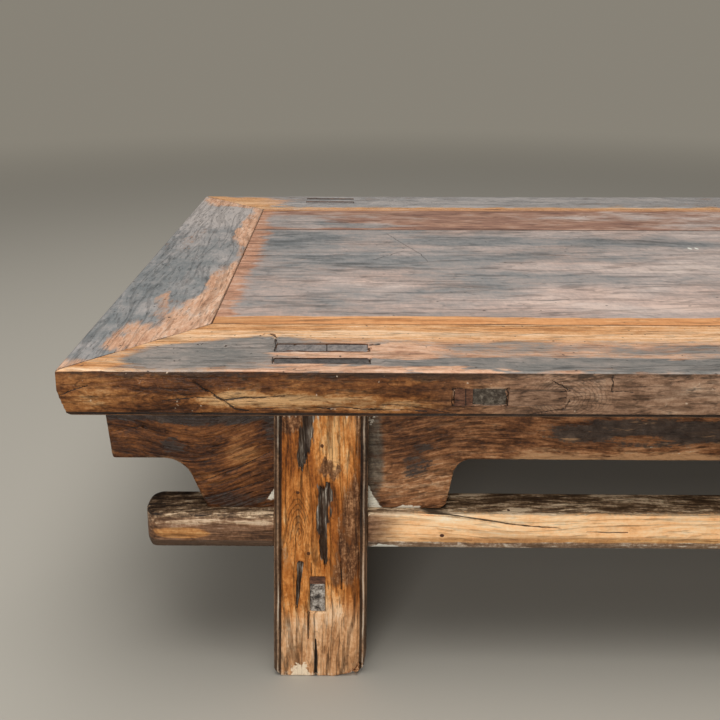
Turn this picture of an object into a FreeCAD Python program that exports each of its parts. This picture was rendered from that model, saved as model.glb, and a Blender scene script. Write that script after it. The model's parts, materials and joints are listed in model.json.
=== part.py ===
import FreeCAD, Part
import math
import os

Vector = FreeCAD.Vector

# A low table with recessed legs. X runs along its length, -Y is its front, Z is up.
# The origin is on the floor, under the middle of the top.

# Overall size
table_length = 1400.0
table_depth = 742.0
table_height = 300.0

# Top frame: four members mitred round a floating panel
frame_width = 109.0
frame_thickness = 43.5
arris_round = 2.0
lower_round = 7.0
face_round = 40.0
face_lean = 5.7
face_break_share = 0.44
mitre_tenon_setback_share = 0.3
mitre_tenon_width_share = 0.46
mitre_tenon_height_share = 0.45
mitre_tenon_recess = 3.5

# Floating panel: boards joined edge to edge, flush with the frame
panel_thickness = 14.0
lip_thickness = 6.5
groove_depth = 10.0
panel_play = 1.5
panel_gap = 0.4
board_joint_shares = (0.475, 0.735)
board_tongue_length = 5.0
board_tongue_share = 0.36

# Braces: keyed into the panel with a dovetail, tenoned through the long rails
brace_place_shares = (0.25, 0.5, 0.75)
brace_width = 36.0
brace_height = 22.0
dovetail_height = 5.0
dovetail_neck = 14.0
dovetail_top = 20.0
brace_tenon_width = 27.5
brace_tenon_height_share = 0.5
brace_tenon_drop_share = 0.03
brace_tenon_recess = 2.5
brace_wedge_space = 14.5
brace_wedge_recess = 1.4
wedge_outer_share = 0.55
wedge_inner_share = 0.3

# Block let into the front edge beside the left brace
patch_length = 46.0
patch_depth = 12.0
patch_gap = 1.5
patch_round = 4.0

# Legs: open-ended slot for apron and rail, two tenons through the top
leg_inset = 213.9
leg_setback = 14.0
leg_width_top = 78.8
leg_width_foot = 83.6
leg_depth_top = 51.0
leg_depth_foot = 54.0
leg_splay = 1.7
leg_corner_round = 2.5
foot_chamfer = 6.0
bead_width = 6.5
bead_groove = 2.0
bead_groove_depth = 1.1
front_cheek = 13.0
front_tenon_thickness = 9.5
rear_tenon_thickness = 15.0
leg_tenon_recess = 0.6

# Long aprons, each cut with its spandrels from one board
apron_thickness = 17.0
apron_height = 49.2
apron_end_inset = 29.0
apron_end_lean = 4.5
apron_corner_round = 3.0
spandrel_drop = 46.9
spandrel_outer_foot = 60.5
spandrel_outer_top = 79.5
spandrel_outer_curve = 26.0
spandrel_inner_foot = 68.0
spandrel_inner_top = 76.5
spandrel_inner_curve = 15.0
spandrel_toe_round = 8.0

# Short aprons, housed in the backs of the long ones
end_apron_thickness = 14.0
end_apron_inset = 12.0
end_apron_housing = 6.0

# Long rails under the aprons, their ends standing out past the legs
rail_width = 36.0
rail_height = 34.2
rail_end_inset = 60.0
rail_top_round = 3.0
rail_bottom_round = 6.0
rail_end_round = 15.0
rail_end_lower_round = 9.0

# Side stretchers below the long rails, wedged through the legs
stretcher_drop = 24.2
stretcher_width = 24.0
stretcher_height = 42.0
stretcher_round = 3.0
stretcher_shift = 2.4
stretcher_tenon_width = 13.5
stretcher_tenon_rise_share = 0.15
stretcher_tenon_height_share = 0.667
stretcher_tenon_recess = 1.0
stretcher_wedge_share = 0.176
stretcher_wedge_thin_share = 0.06
stretcher_wedge_length = 38.0

# Clearance on the sides of a joint, and how far a cutter runs past what it cuts
fit = 0.1
overrun = 5.0

# Levels and edges that follow from the sizes
top_z = table_height
under_z = table_height - frame_thickness
lip_z = top_z - lip_thickness
seat_z = top_z - panel_thickness
web_height = seat_z - under_z
left_x = -table_length / 2
front_y = -table_depth / 2
inner_left_x = left_x + frame_width
inner_front_y = front_y + frame_width
leg_x = left_x + leg_inset
leg_y = front_y + leg_setback + leg_depth_top / 2
apron_front_y = front_y + leg_setback + front_cheek
apron_y = apron_front_y + apron_thickness / 2
apron_back_y = apron_front_y + apron_thickness
head_z = under_z - apron_height
rail_top_z = head_z - spandrel_drop
rail_bottom_z = rail_top_z - rail_height
brace_places = [left_x + table_length * share for share in brace_place_shares]
brace_tenon_top = seat_z - web_height * brace_tenon_drop_share
brace_tenon_bottom = brace_tenon_top - web_height * brace_tenon_height_share
mitre_tenon_height = web_height * mitre_tenon_height_share
mitre_tenon_bottom = under_z + (web_height - mitre_tenon_height) / 2
mitre_tenon_front = front_y + frame_width * mitre_tenon_setback_share
mitre_tenon_back = mitre_tenon_front + frame_width * mitre_tenon_width_share
stretcher_rise = rail_bottom_z - stretcher_drop - stretcher_height
stretcher_tenon_bottom = stretcher_rise + stretcher_height * stretcher_tenon_rise_share
stretcher_tenon_top = stretcher_tenon_bottom + stretcher_height * stretcher_tenon_height_share


# Shapes that every piece is made from
def block(x_span, y_span, z_span):
    """Box between the low and high values on each axis."""
    low = Vector(x_span[0], y_span[0], z_span[0])
    sizes = [high - start for start, high in (x_span, y_span, z_span)]
    return Part.makeBox(sizes[0], sizes[1], sizes[2], low)


def rounded_wire(corners, place):
    """Closed wire through (a, b, radius) corners, each turned with a tangent arc."""
    points = [Vector(a, b, 0) for a, b, radius in corners]
    turns = []
    for index, here in enumerate(points):
        back = points[index - 1] - here
        ahead = points[(index + 1) % len(points)] - here
        half_angle = back.getAngle(ahead) / 2
        reach = min(back.Length, ahead.Length) / 2
        run = min(corners[index][2] / math.tan(half_angle), reach)
        radius = run * math.tan(half_angle)
        back.normalize()
        ahead.normalize()
        middle = back + ahead
        if radius > 0:
            middle.normalize()
        touch = here + middle * (radius / math.sin(half_angle) - radius)
        turns.append((here + back * run, touch, here + ahead * run, radius))
    edges = []
    for index, (start, touch, end, radius) in enumerate(turns):
        if radius > 0:
            edges.append(Part.Arc(place(start), place(touch), place(end)).toShape())
        following = turns[(index + 1) % len(turns)][0]
        if (following - end).Length > Part.Precision.confusion():
            edges.append(Part.LineSegment(place(end), place(following)).toShape())
    return Part.Wire(edges)


def prism(corners, place, run):
    """Solid drawn from a closed outline along a run."""
    return Part.Face(rounded_wire(corners, place)).extrude(run)


def upright(corners, z_span):
    """Solid with an outline in plan, between two heights."""
    height = Vector(0, 0, z_span[1] - z_span[0])
    return prism(corners, lambda p: Vector(p.x, p.y, z_span[0]), height)


def plain(points):
    """Corners with no rounding."""
    return [(a, b, 0) for a, b in points]


def flipped_x(shape):
    return shape.mirror(Vector(0, 0, 0), Vector(1, 0, 0))


def flipped_y(shape):
    return shape.mirror(Vector(0, 0, 0), Vector(0, 1, 0))


def four_ways(shape):
    """The front left shape and its three mirror images."""
    right = flipped_x(shape)
    return [shape, right, flipped_y(shape), flipped_y(right)]


# Legs
def leg_taper(z):
    """Half width, half depth and middle of a leg at a height."""
    share = z / under_z
    half_width = (leg_width_foot + (leg_width_top - leg_width_foot) * share) / 2
    half_depth = (leg_depth_foot + (leg_depth_top - leg_depth_foot) * share) / 2
    return half_width, half_depth, leg_x - leg_splay * (1 - share)


def leg_section(z, grow, side_cut=0):
    """Outline of the leg at a height, with a bead along each edge of its two faces."""
    half_width, half_depth, middle_x = leg_taper(z)
    half_width += grow - side_cut
    half_depth += grow
    bead = half_width - bead_width
    face = [(-half_width, leg_corner_round, 0)]
    for side in (-bead, bead):
        face.append((side - bead_groove / 2, 0, 0))
        face.append((side, 0, bead_groove_depth))
        face.append((side + bead_groove / 2, 0, 0))
    face.append((half_width, leg_corner_round, 0))
    front = [(x, depth - half_depth, radius) for x, radius, depth in face]
    back = [(-x, -y, radius) for x, y, radius in front]
    return rounded_wire(front + back, lambda p: Vector(middle_x + p.x, leg_y + p.y, z))


def leg_blank(grow):
    """The tapered and splayed post before any joint is cut."""
    foot = leg_section(0, grow, foot_chamfer)
    ankle = leg_section(foot_chamfer, grow)
    head = leg_section(under_z, grow)
    return Part.makeLoft([foot, ankle, head], True, True)


def leg_slot(width):
    """Space between the cheeks, from the underside of the rail to above the leg."""
    across = leg_width_foot + leg_splay + overrun
    x_span = (leg_x - across, leg_x + across)
    y_span = (apron_y - width / 2, apron_y + width / 2)
    return block(x_span, y_span, (rail_bottom_z, under_z + overrun))


def leg_tenons(grow, z_span):
    """The two tenons at the head of a leg, in line with its cheeks."""
    half_width = leg_width_top / 2 + grow
    x_span = (leg_x - half_width, leg_x + half_width)
    front_end = apron_front_y - fit
    rear_start = apron_back_y + fit
    front = (front_end - front_tenon_thickness - grow, front_end + grow)
    rear = (rear_start - grow, rear_start + rear_tenon_thickness + grow)
    return [block(x_span, y_span, z_span) for y_span in (front, rear)]


stretcher_x = leg_taper(stretcher_rise)[2] - stretcher_shift
stretcher_end_y = leg_y - leg_taper(stretcher_tenon_top)[1] + stretcher_tenon_recess


def stretcher_tenon(grow, y_span):
    half_width = stretcher_tenon_width / 2 + grow
    x_span = (stretcher_x - half_width, stretcher_x + half_width)
    return block(x_span, y_span, (stretcher_tenon_bottom, stretcher_tenon_top))


def stretcher_wedge(grow, start_y):
    """Wedge that lies on the tenon, thick end outwards."""
    slope = stretcher_height * (stretcher_wedge_share - stretcher_wedge_thin_share)
    lengthened = stretcher_end_y - start_y
    thick = stretcher_height * stretcher_wedge_share + slope * lengthened / stretcher_wedge_length
    thin = stretcher_height * stretcher_wedge_thin_share
    end_y = stretcher_end_y + stretcher_wedge_length
    side = [
        (start_y, stretcher_tenon_top),
        (end_y, stretcher_tenon_top),
        (end_y, stretcher_tenon_top + thin),
        (start_y, stretcher_tenon_top + thick),
    ]
    half_width = stretcher_tenon_width / 2 + grow
    start_x = stretcher_x - half_width
    return prism(plain(side), lambda p: Vector(start_x, p.x, p.y), Vector(2 * half_width, 0, 0))


def make_leg():
    tenons = leg_tenons(0, (under_z - overrun, top_z - leg_tenon_recess))
    leg = leg_blank(0).fuse(tenons).cut(leg_slot(apron_thickness + 2 * fit))
    outside_y = stretcher_end_y - overrun
    through = (outside_y, leg_y + leg_depth_foot)
    mortise = [stretcher_tenon(fit, through), stretcher_wedge(fit, outside_y)]
    return leg.cut(mortise).removeSplitter()


# Top frame
def frame_profile(place, run):
    """Member of the frame, seen along its length, with the panel's groove inside."""
    break_z = top_z - frame_thickness * face_break_share
    corners = [
        (0, top_z, arris_round),
        (frame_width, top_z, 0),
        (frame_width, lip_z, 0),
        (frame_width - groove_depth, lip_z, 0),
        (frame_width - groove_depth, seat_z, 0),
        (frame_width, seat_z, 0),
        (frame_width, under_z, 0),
        (face_lean, under_z, lower_round),
        (0, break_z, face_round),
    ]
    return prism(corners, place, run)


def mitre_cutter(keep_rail):
    """Everything on the far side of the front left mitre."""
    near = -overrun
    far = frame_width + overrun
    third = (near, far) if keep_rail else (far, near)
    corners = [(left_x + a, front_y + b) for a, b in ((near, near), (far, far), third)]
    return upright(plain(corners), (under_z - overrun, top_z + overrun))


def mitre_tenon(grow, x_span):
    z_span = (mitre_tenon_bottom - grow, mitre_tenon_bottom + mitre_tenon_height + grow)
    return block(x_span, (mitre_tenon_front - grow, mitre_tenon_back + grow), z_span)


def brace_mortise(brace_x):
    """Slot through the front rail for a brace's tenon and its wedges."""
    half_width = brace_tenon_width / 2
    x_span = (brace_x - half_width - brace_wedge_space, brace_x + half_width + fit)
    y_span = (front_y - overrun, inner_front_y + overrun)
    return block(x_span, y_span, (brace_tenon_bottom, brace_tenon_top + fit))


def patch_block(grow, start_y):
    """The let-in block, rounded at its far end."""
    start_x = brace_places[0] + brace_tenon_width / 2 + patch_gap
    end_x = start_x + patch_length + grow
    bottom = brace_tenon_bottom
    top = brace_tenon_top + grow
    corners = [
        (start_x - grow, bottom, 0),
        (end_x, bottom, patch_round),
        (end_x, top, patch_round),
        (start_x - grow, top, 0),
    ]
    depth = Vector(0, front_y + patch_depth - start_y, 0)
    return prism(corners, lambda p: Vector(p.x, start_y, p.y), depth)


def rail_blank():
    length = Vector(table_length, 0, 0)
    return frame_profile(lambda p: Vector(left_x, front_y + p.x, p.y), length)


def make_top_rail():
    """Front rail: mitred, tenoned into the ends, slotted for legs and braces."""
    cutter = mitre_cutter(True)
    rail = rail_blank().cut([cutter, flipped_x(cutter)])
    tenon = mitre_tenon(0, (left_x + mitre_tenon_recess, inner_left_x))
    rail = rail.fuse([tenon, flipped_x(tenon)])
    slots = leg_tenons(fit, (under_z - overrun, top_z + overrun))
    slots += [flipped_x(slot) for slot in slots]
    slots += [brace_mortise(brace_x) for brace_x in brace_places]
    return rail.cut(slots).removeSplitter()


def make_top_end():
    """Left end: mitred at both corners, with a mortise right through at each."""
    place = lambda p: Vector(left_x + p.x, front_y, p.y)
    end = frame_profile(place, Vector(0, table_depth, 0))
    cutter = mitre_cutter(False)
    mortise = mitre_tenon(fit, (left_x - overrun, inner_left_x + overrun))
    return end.cut([cutter, flipped_y(cutter), mortise, flipped_y(mortise)]).removeSplitter()


# Floating panel
def dovetail(brace_x, grow, y_span):
    """Long key that holds a brace to the panel."""
    neck = dovetail_neck / 2 + grow
    head = dovetail_top / 2 + grow
    height = seat_z + dovetail_height + grow
    shape = [(-neck, seat_z), (neck, seat_z), (head, height), (-head, height)]
    place = lambda p: Vector(brace_x + p.x, y_span[0], p.y)
    return prism(plain(shape), place, Vector(0, y_span[1] - y_span[0], 0))


def make_boards():
    """Boards with a tongue all round the panel and a tongue and groove at each joint."""
    tongue = groove_depth - panel_play
    field_x = inner_left_x + panel_gap
    field_y = inner_front_y + panel_gap
    edge_x = inner_left_x - tongue
    edge_y = inner_front_y - tongue
    width = -2 * inner_front_y
    joints = [inner_front_y + width * share for share in board_joint_shares]
    edges = [edge_y] + joints + [-edge_y]
    rabbet_z = (lip_z - fit, top_z + overrun)
    outside = block((edge_x - overrun, field_x), (edge_y - overrun, -edge_y + overrun), rabbet_z)
    before = block((edge_x - overrun, -edge_x + overrun), (edge_y - overrun, field_y), rabbet_z)
    rabbets = [outside, flipped_x(outside), before, flipped_y(before)]
    keys = [dovetail(x, fit, (edge_y - overrun, -edge_y + overrun)) for x in brace_places]
    half_tongue = panel_thickness * board_tongue_share / 2
    middle_z = (top_z + seat_z) / 2
    boards = []
    for start, end in zip(edges, edges[1:]):
        board = block((edge_x, -edge_x), (start, end), (seat_z, top_z))
        if end in joints:
            z_span = (middle_z - half_tongue, middle_z + half_tongue)
            board = board.fuse(block((edge_x, -edge_x), (start, end + board_tongue_length), z_span))
        if start in joints:
            z_span = (middle_z - half_tongue - fit, middle_z + half_tongue + fit)
            x_span = (edge_x - overrun, -edge_x + overrun)
            board = board.cut(block(x_span, (start - overrun, start + board_tongue_length + fit), z_span))
        boards.append(board.cut(rabbets + keys).removeSplitter())
    return boards


# Braces and their wedges
def make_brace(brace_x):
    half_width = brace_width / 2
    y_span = (inner_front_y, -inner_front_y)
    body = block((brace_x - half_width, brace_x + half_width), y_span, (seat_z - brace_height, seat_z))
    half_tenon = brace_tenon_width / 2
    end_y = front_y + brace_tenon_recess
    x_span = (brace_x - half_tenon, brace_x + half_tenon)
    tenon = block(x_span, (end_y, -end_y), (brace_tenon_bottom, brace_tenon_top))
    return body.fuse([tenon, dovetail(brace_x, 0, y_span)]).removeSplitter()


def make_brace_wedges(brace_x):
    """Two wedges driven against each other beside the front end of a tenon."""
    right = brace_x - brace_tenon_width / 2
    left = right - brace_wedge_space
    start_y = front_y + brace_wedge_recess
    end_y = inner_front_y
    outer = left + brace_wedge_space * wedge_outer_share
    inner = left + brace_wedge_space * wedge_inner_share
    first = [(left, start_y), (outer, start_y), (inner, end_y), (left, end_y)]
    second = [(outer, start_y), (right, start_y), (right, end_y), (inner, end_y)]
    z_span = (brace_tenon_bottom, brace_tenon_top)
    return [upright(plain(shape), z_span) for shape in (first, second)]


# Aprons
def make_apron():
    """Front apron: straight board with a spandrel each side of each leg."""
    outer_side = leg_x - leg_width_top / 2
    inner_side = leg_x + leg_width_top / 2
    end_x = left_x + apron_end_inset
    left_half = [
        (end_x, under_z, 0),
        (end_x + apron_end_lean, head_z, apron_corner_round),
        (outer_side - spandrel_outer_top, head_z, spandrel_outer_curve),
        (outer_side - spandrel_outer_foot, rail_top_z, 0),
        (inner_side + spandrel_inner_foot, rail_top_z, spandrel_toe_round),
        (inner_side + spandrel_inner_top, head_z, spandrel_inner_curve),
    ]
    right_half = [(-x, z, radius) for x, z, radius in reversed(left_half)]
    thickness = Vector(0, apron_thickness, 0)
    apron = prism(left_half + right_half, lambda p: Vector(p.x, apron_front_y, p.y), thickness)
    housing = end_apron_block(fit, (apron_back_y - end_apron_housing, apron_back_y + overrun))
    return apron.cut([housing, flipped_x(housing)])


def end_apron_block(grow, y_span):
    start_x = left_x + apron_end_inset + apron_end_lean + end_apron_inset
    x_span = (start_x - grow, start_x + end_apron_thickness + grow)
    return block(x_span, y_span, (head_z, under_z))


def make_end_apron():
    end_y = apron_back_y - end_apron_housing
    return end_apron_block(0, (end_y, -end_y))


# Long rails
def make_long_rail():
    """Front rail: rounded ends, thinned where it passes between the cheeks of the legs."""
    start_x = left_x + rail_end_inset
    half_width = rail_width / 2
    section = [
        (-half_width, rail_bottom_z, rail_bottom_round),
        (half_width, rail_bottom_z, rail_bottom_round),
        (half_width, rail_top_z, rail_top_round),
        (-half_width, rail_top_z, rail_top_round),
    ]
    length = Vector(-2 * start_x, 0, 0)
    bar = prism(section, lambda p: Vector(start_x, apron_y + p.x, p.y), length)
    sides = (apron_y - half_width, apron_y + half_width)
    plan = [(x, y, rail_end_round) for x, y in corner_pairs((start_x, -start_x), sides)]
    low_z = (rail_bottom_z, rail_end_lower_round)
    high_z = (rail_top_z, rail_top_round)
    face = [(start_x, *low_z), (-start_x, *low_z), (-start_x, *high_z), (start_x, *high_z)]
    across = Vector(0, sides[1] - sides[0], 0)
    bar = bar.common(upright(plan, (rail_bottom_z, rail_top_z)))
    bar = bar.common(prism(face, lambda p: Vector(p.x, sides[0], p.y), across))
    cheeks = leg_blank(fit).cut(leg_slot(apron_thickness))
    return bar.cut([cheeks, flipped_x(cheeks)]).removeSplitter()


def corner_pairs(x_span, y_span):
    """Corners of a rectangle, in order round it."""
    low_x, high_x = x_span
    low_y, high_y = y_span
    return [(low_x, low_y), (high_x, low_y), (high_x, high_y), (low_x, high_y)]


# Side stretchers
def make_side_stretcher():
    """Left stretcher, shouldered against both legs, with a tenon through each."""
    half_width = stretcher_width / 2
    x_span = (stretcher_x - half_width, stretcher_x + half_width)
    z_span = (stretcher_rise, stretcher_rise + stretcher_height)
    section = [(x, z, stretcher_round) for x, z in corner_pairs(x_span, z_span)]
    run = Vector(0, -2 * leg_y, 0)
    bar = prism(section, lambda p: Vector(p.x, leg_y, p.y), run)
    post = leg_blank(0)
    bar = bar.cut([post, flipped_y(post)])
    return bar.fuse(stretcher_tenon(0, (stretcher_end_y, -stretcher_end_y))).removeSplitter()


# The whole table
parts = {}

rail = make_top_rail()
patch_room = patch_block(fit, front_y - overrun)
parts["top_rail_front"] = rail.cut(patch_room)
parts["top_rail_back"] = flipped_y(rail)
parts["edge_patch"] = patch_block(0, front_y - overrun).common(rail_blank())

end = make_top_end()
parts["top_end_left"] = end
parts["top_end_right"] = flipped_x(end)

for name, board in zip(("front", "middle", "back"), make_boards()):
    parts["panel_board_" + name] = board

wedges = []
for name, brace_x in zip(("left", "middle", "right"), brace_places):
    parts["brace_" + name] = make_brace(brace_x)
    for wedge in make_brace_wedges(brace_x):
        wedges += [wedge, flipped_y(wedge)]
parts["brace_wedges"] = Part.makeCompound(wedges)

leg_names = ("front_left", "front_right", "back_left", "back_right")
for name, leg in zip(leg_names, four_ways(make_leg())):
    parts["leg_" + name] = leg
parts["stretcher_wedges"] = Part.makeCompound(four_ways(stretcher_wedge(0, stretcher_end_y)))

apron = make_apron()
parts["apron_front"] = apron
parts["apron_back"] = flipped_y(apron)

end_apron = make_end_apron()
parts["end_apron_left"] = end_apron
parts["end_apron_right"] = flipped_x(end_apron)

long_rail = make_long_rail()
parts["long_rail_front"] = long_rail
parts["long_rail_back"] = flipped_y(long_rail)

stretcher = make_side_stretcher()
parts["side_stretcher_left"] = stretcher
parts["side_stretcher_right"] = flipped_x(stretcher)

os.makedirs("parts", exist_ok=True)
for name, shape in parts.items():
    shape.exportStep("parts/" + name + ".step")
    print(name, len(shape.Solids), shape.isValid(), round(shape.Volume))
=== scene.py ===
import json
import math

import bmesh
import bpy
import numpy as np
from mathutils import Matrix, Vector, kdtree
from mathutils.bvhtree import BVHTree


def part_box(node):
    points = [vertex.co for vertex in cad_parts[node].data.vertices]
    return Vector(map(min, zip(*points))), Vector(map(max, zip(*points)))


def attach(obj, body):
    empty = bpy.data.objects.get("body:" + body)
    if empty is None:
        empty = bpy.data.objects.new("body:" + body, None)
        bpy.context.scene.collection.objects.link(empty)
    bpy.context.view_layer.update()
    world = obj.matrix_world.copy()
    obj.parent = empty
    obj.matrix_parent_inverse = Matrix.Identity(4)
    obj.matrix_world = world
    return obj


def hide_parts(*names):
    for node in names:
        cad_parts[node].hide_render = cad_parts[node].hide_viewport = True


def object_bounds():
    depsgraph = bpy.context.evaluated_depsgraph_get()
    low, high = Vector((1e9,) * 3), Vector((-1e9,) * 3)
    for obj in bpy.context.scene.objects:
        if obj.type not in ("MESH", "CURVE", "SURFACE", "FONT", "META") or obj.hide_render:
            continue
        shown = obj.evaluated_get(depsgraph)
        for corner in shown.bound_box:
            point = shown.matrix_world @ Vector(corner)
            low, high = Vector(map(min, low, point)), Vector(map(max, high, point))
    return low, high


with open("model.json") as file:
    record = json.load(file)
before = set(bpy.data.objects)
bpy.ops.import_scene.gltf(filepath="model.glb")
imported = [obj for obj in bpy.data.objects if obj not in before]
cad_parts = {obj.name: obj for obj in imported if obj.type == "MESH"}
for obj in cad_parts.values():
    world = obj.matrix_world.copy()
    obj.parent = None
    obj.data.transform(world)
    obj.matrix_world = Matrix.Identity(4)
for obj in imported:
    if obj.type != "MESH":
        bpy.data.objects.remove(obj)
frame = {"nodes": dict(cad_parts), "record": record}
cad_low, cad_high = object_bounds()

# Sizes in metres, read from the frame
half_length, half_depth, top_z = cad_high
rail_low, rail_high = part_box("top_rail_front")
frame_width = rail_high.y - rail_low.y
under_z = rail_low.z
inner_x = half_length - frame_width
inner_y = half_depth - frame_width
board_joint_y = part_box("panel_board_back")[0].y
apron_edge_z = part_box("end_apron_left")[0].z
long_rail_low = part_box("long_rail_front")[0]

# Camera, fitted to the edges of the table in a 720 pixel frame
image_size = 720
sensor_width = 36
focal_pixels = 783.78
centre_pixel = (329.654, 225.819)
camera_from_corner = (0.2274, -0.5841, 0.5543)
camera_pitch = math.radians(13)
camera_turn = 0.011

# Wear of the solids
leg_voxel = 0.0007
fine_voxel = 0.001
middle_voxel = 0.0013
coarse_voxel = 0.0022
arris_step = 0.003
arris_cell = 0.01
cell_steps = (1, 1000003, 998244353)
arris_angle = math.radians(30)
joined_reach = 0.0008
wear_reach = 0.002
chip_reach = 0.006
wave_height = 0.00025
corner_share = math.sqrt(2) - 1
crisp_angle = math.radians(38)
groove_margin = 0.012
groove_facing = 0.35
fray_share = 1.2
thin_crack = 0.0021
painted_depth = 0.0008
groove_slope = 1.25
rag_swing = 0.5
least_rag = 0.25
rag_stretch = (0.22, 1, 1)
fray_stretch = (0.03, 1, 1)
wear_mean = 0.75
wear_swing = 0.55
least_wear = 0.0004
chip_level = 0.62
arris_fade = 0.004
cavity_depth = 0.0012
weld_reach = 1e-5

# Noise in the wear: size of its bumps, seed and, where it isn't 3, the number of layers
wear_noise = (0.045, 11)
chip_noise = (0.022, 23)
wave_noise = (0.11, 37)
rag_noise = (0.004, 71)
fray_noise = (0.0016, 83, 2)

# Bends in the grain: height, size and step of the seed, then how each axis takes part
grain_bends = [(0.012, 0.14, 0), (0.004, 0.05, 5)]
bend_shares = (0, 1, 0.6)
grain_stretch = (0.35, 1, 1)
grain_offset = (0.37, 0.61, 0.23)

# Broken corners: node, place, size and how far back the arris is worn there
chips = [
    ("leg_front_left", (-0.446, -0.353, 0.004), 0.03, 0.02),
]

# Faces that grooves are cut in: two axes in the face, the axis out of it and its sign
FRONT = (0, 2, 1, -1)
BACK = (0, 2, 1, 1)
TOP = (0, 1, 2, 1)

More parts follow.
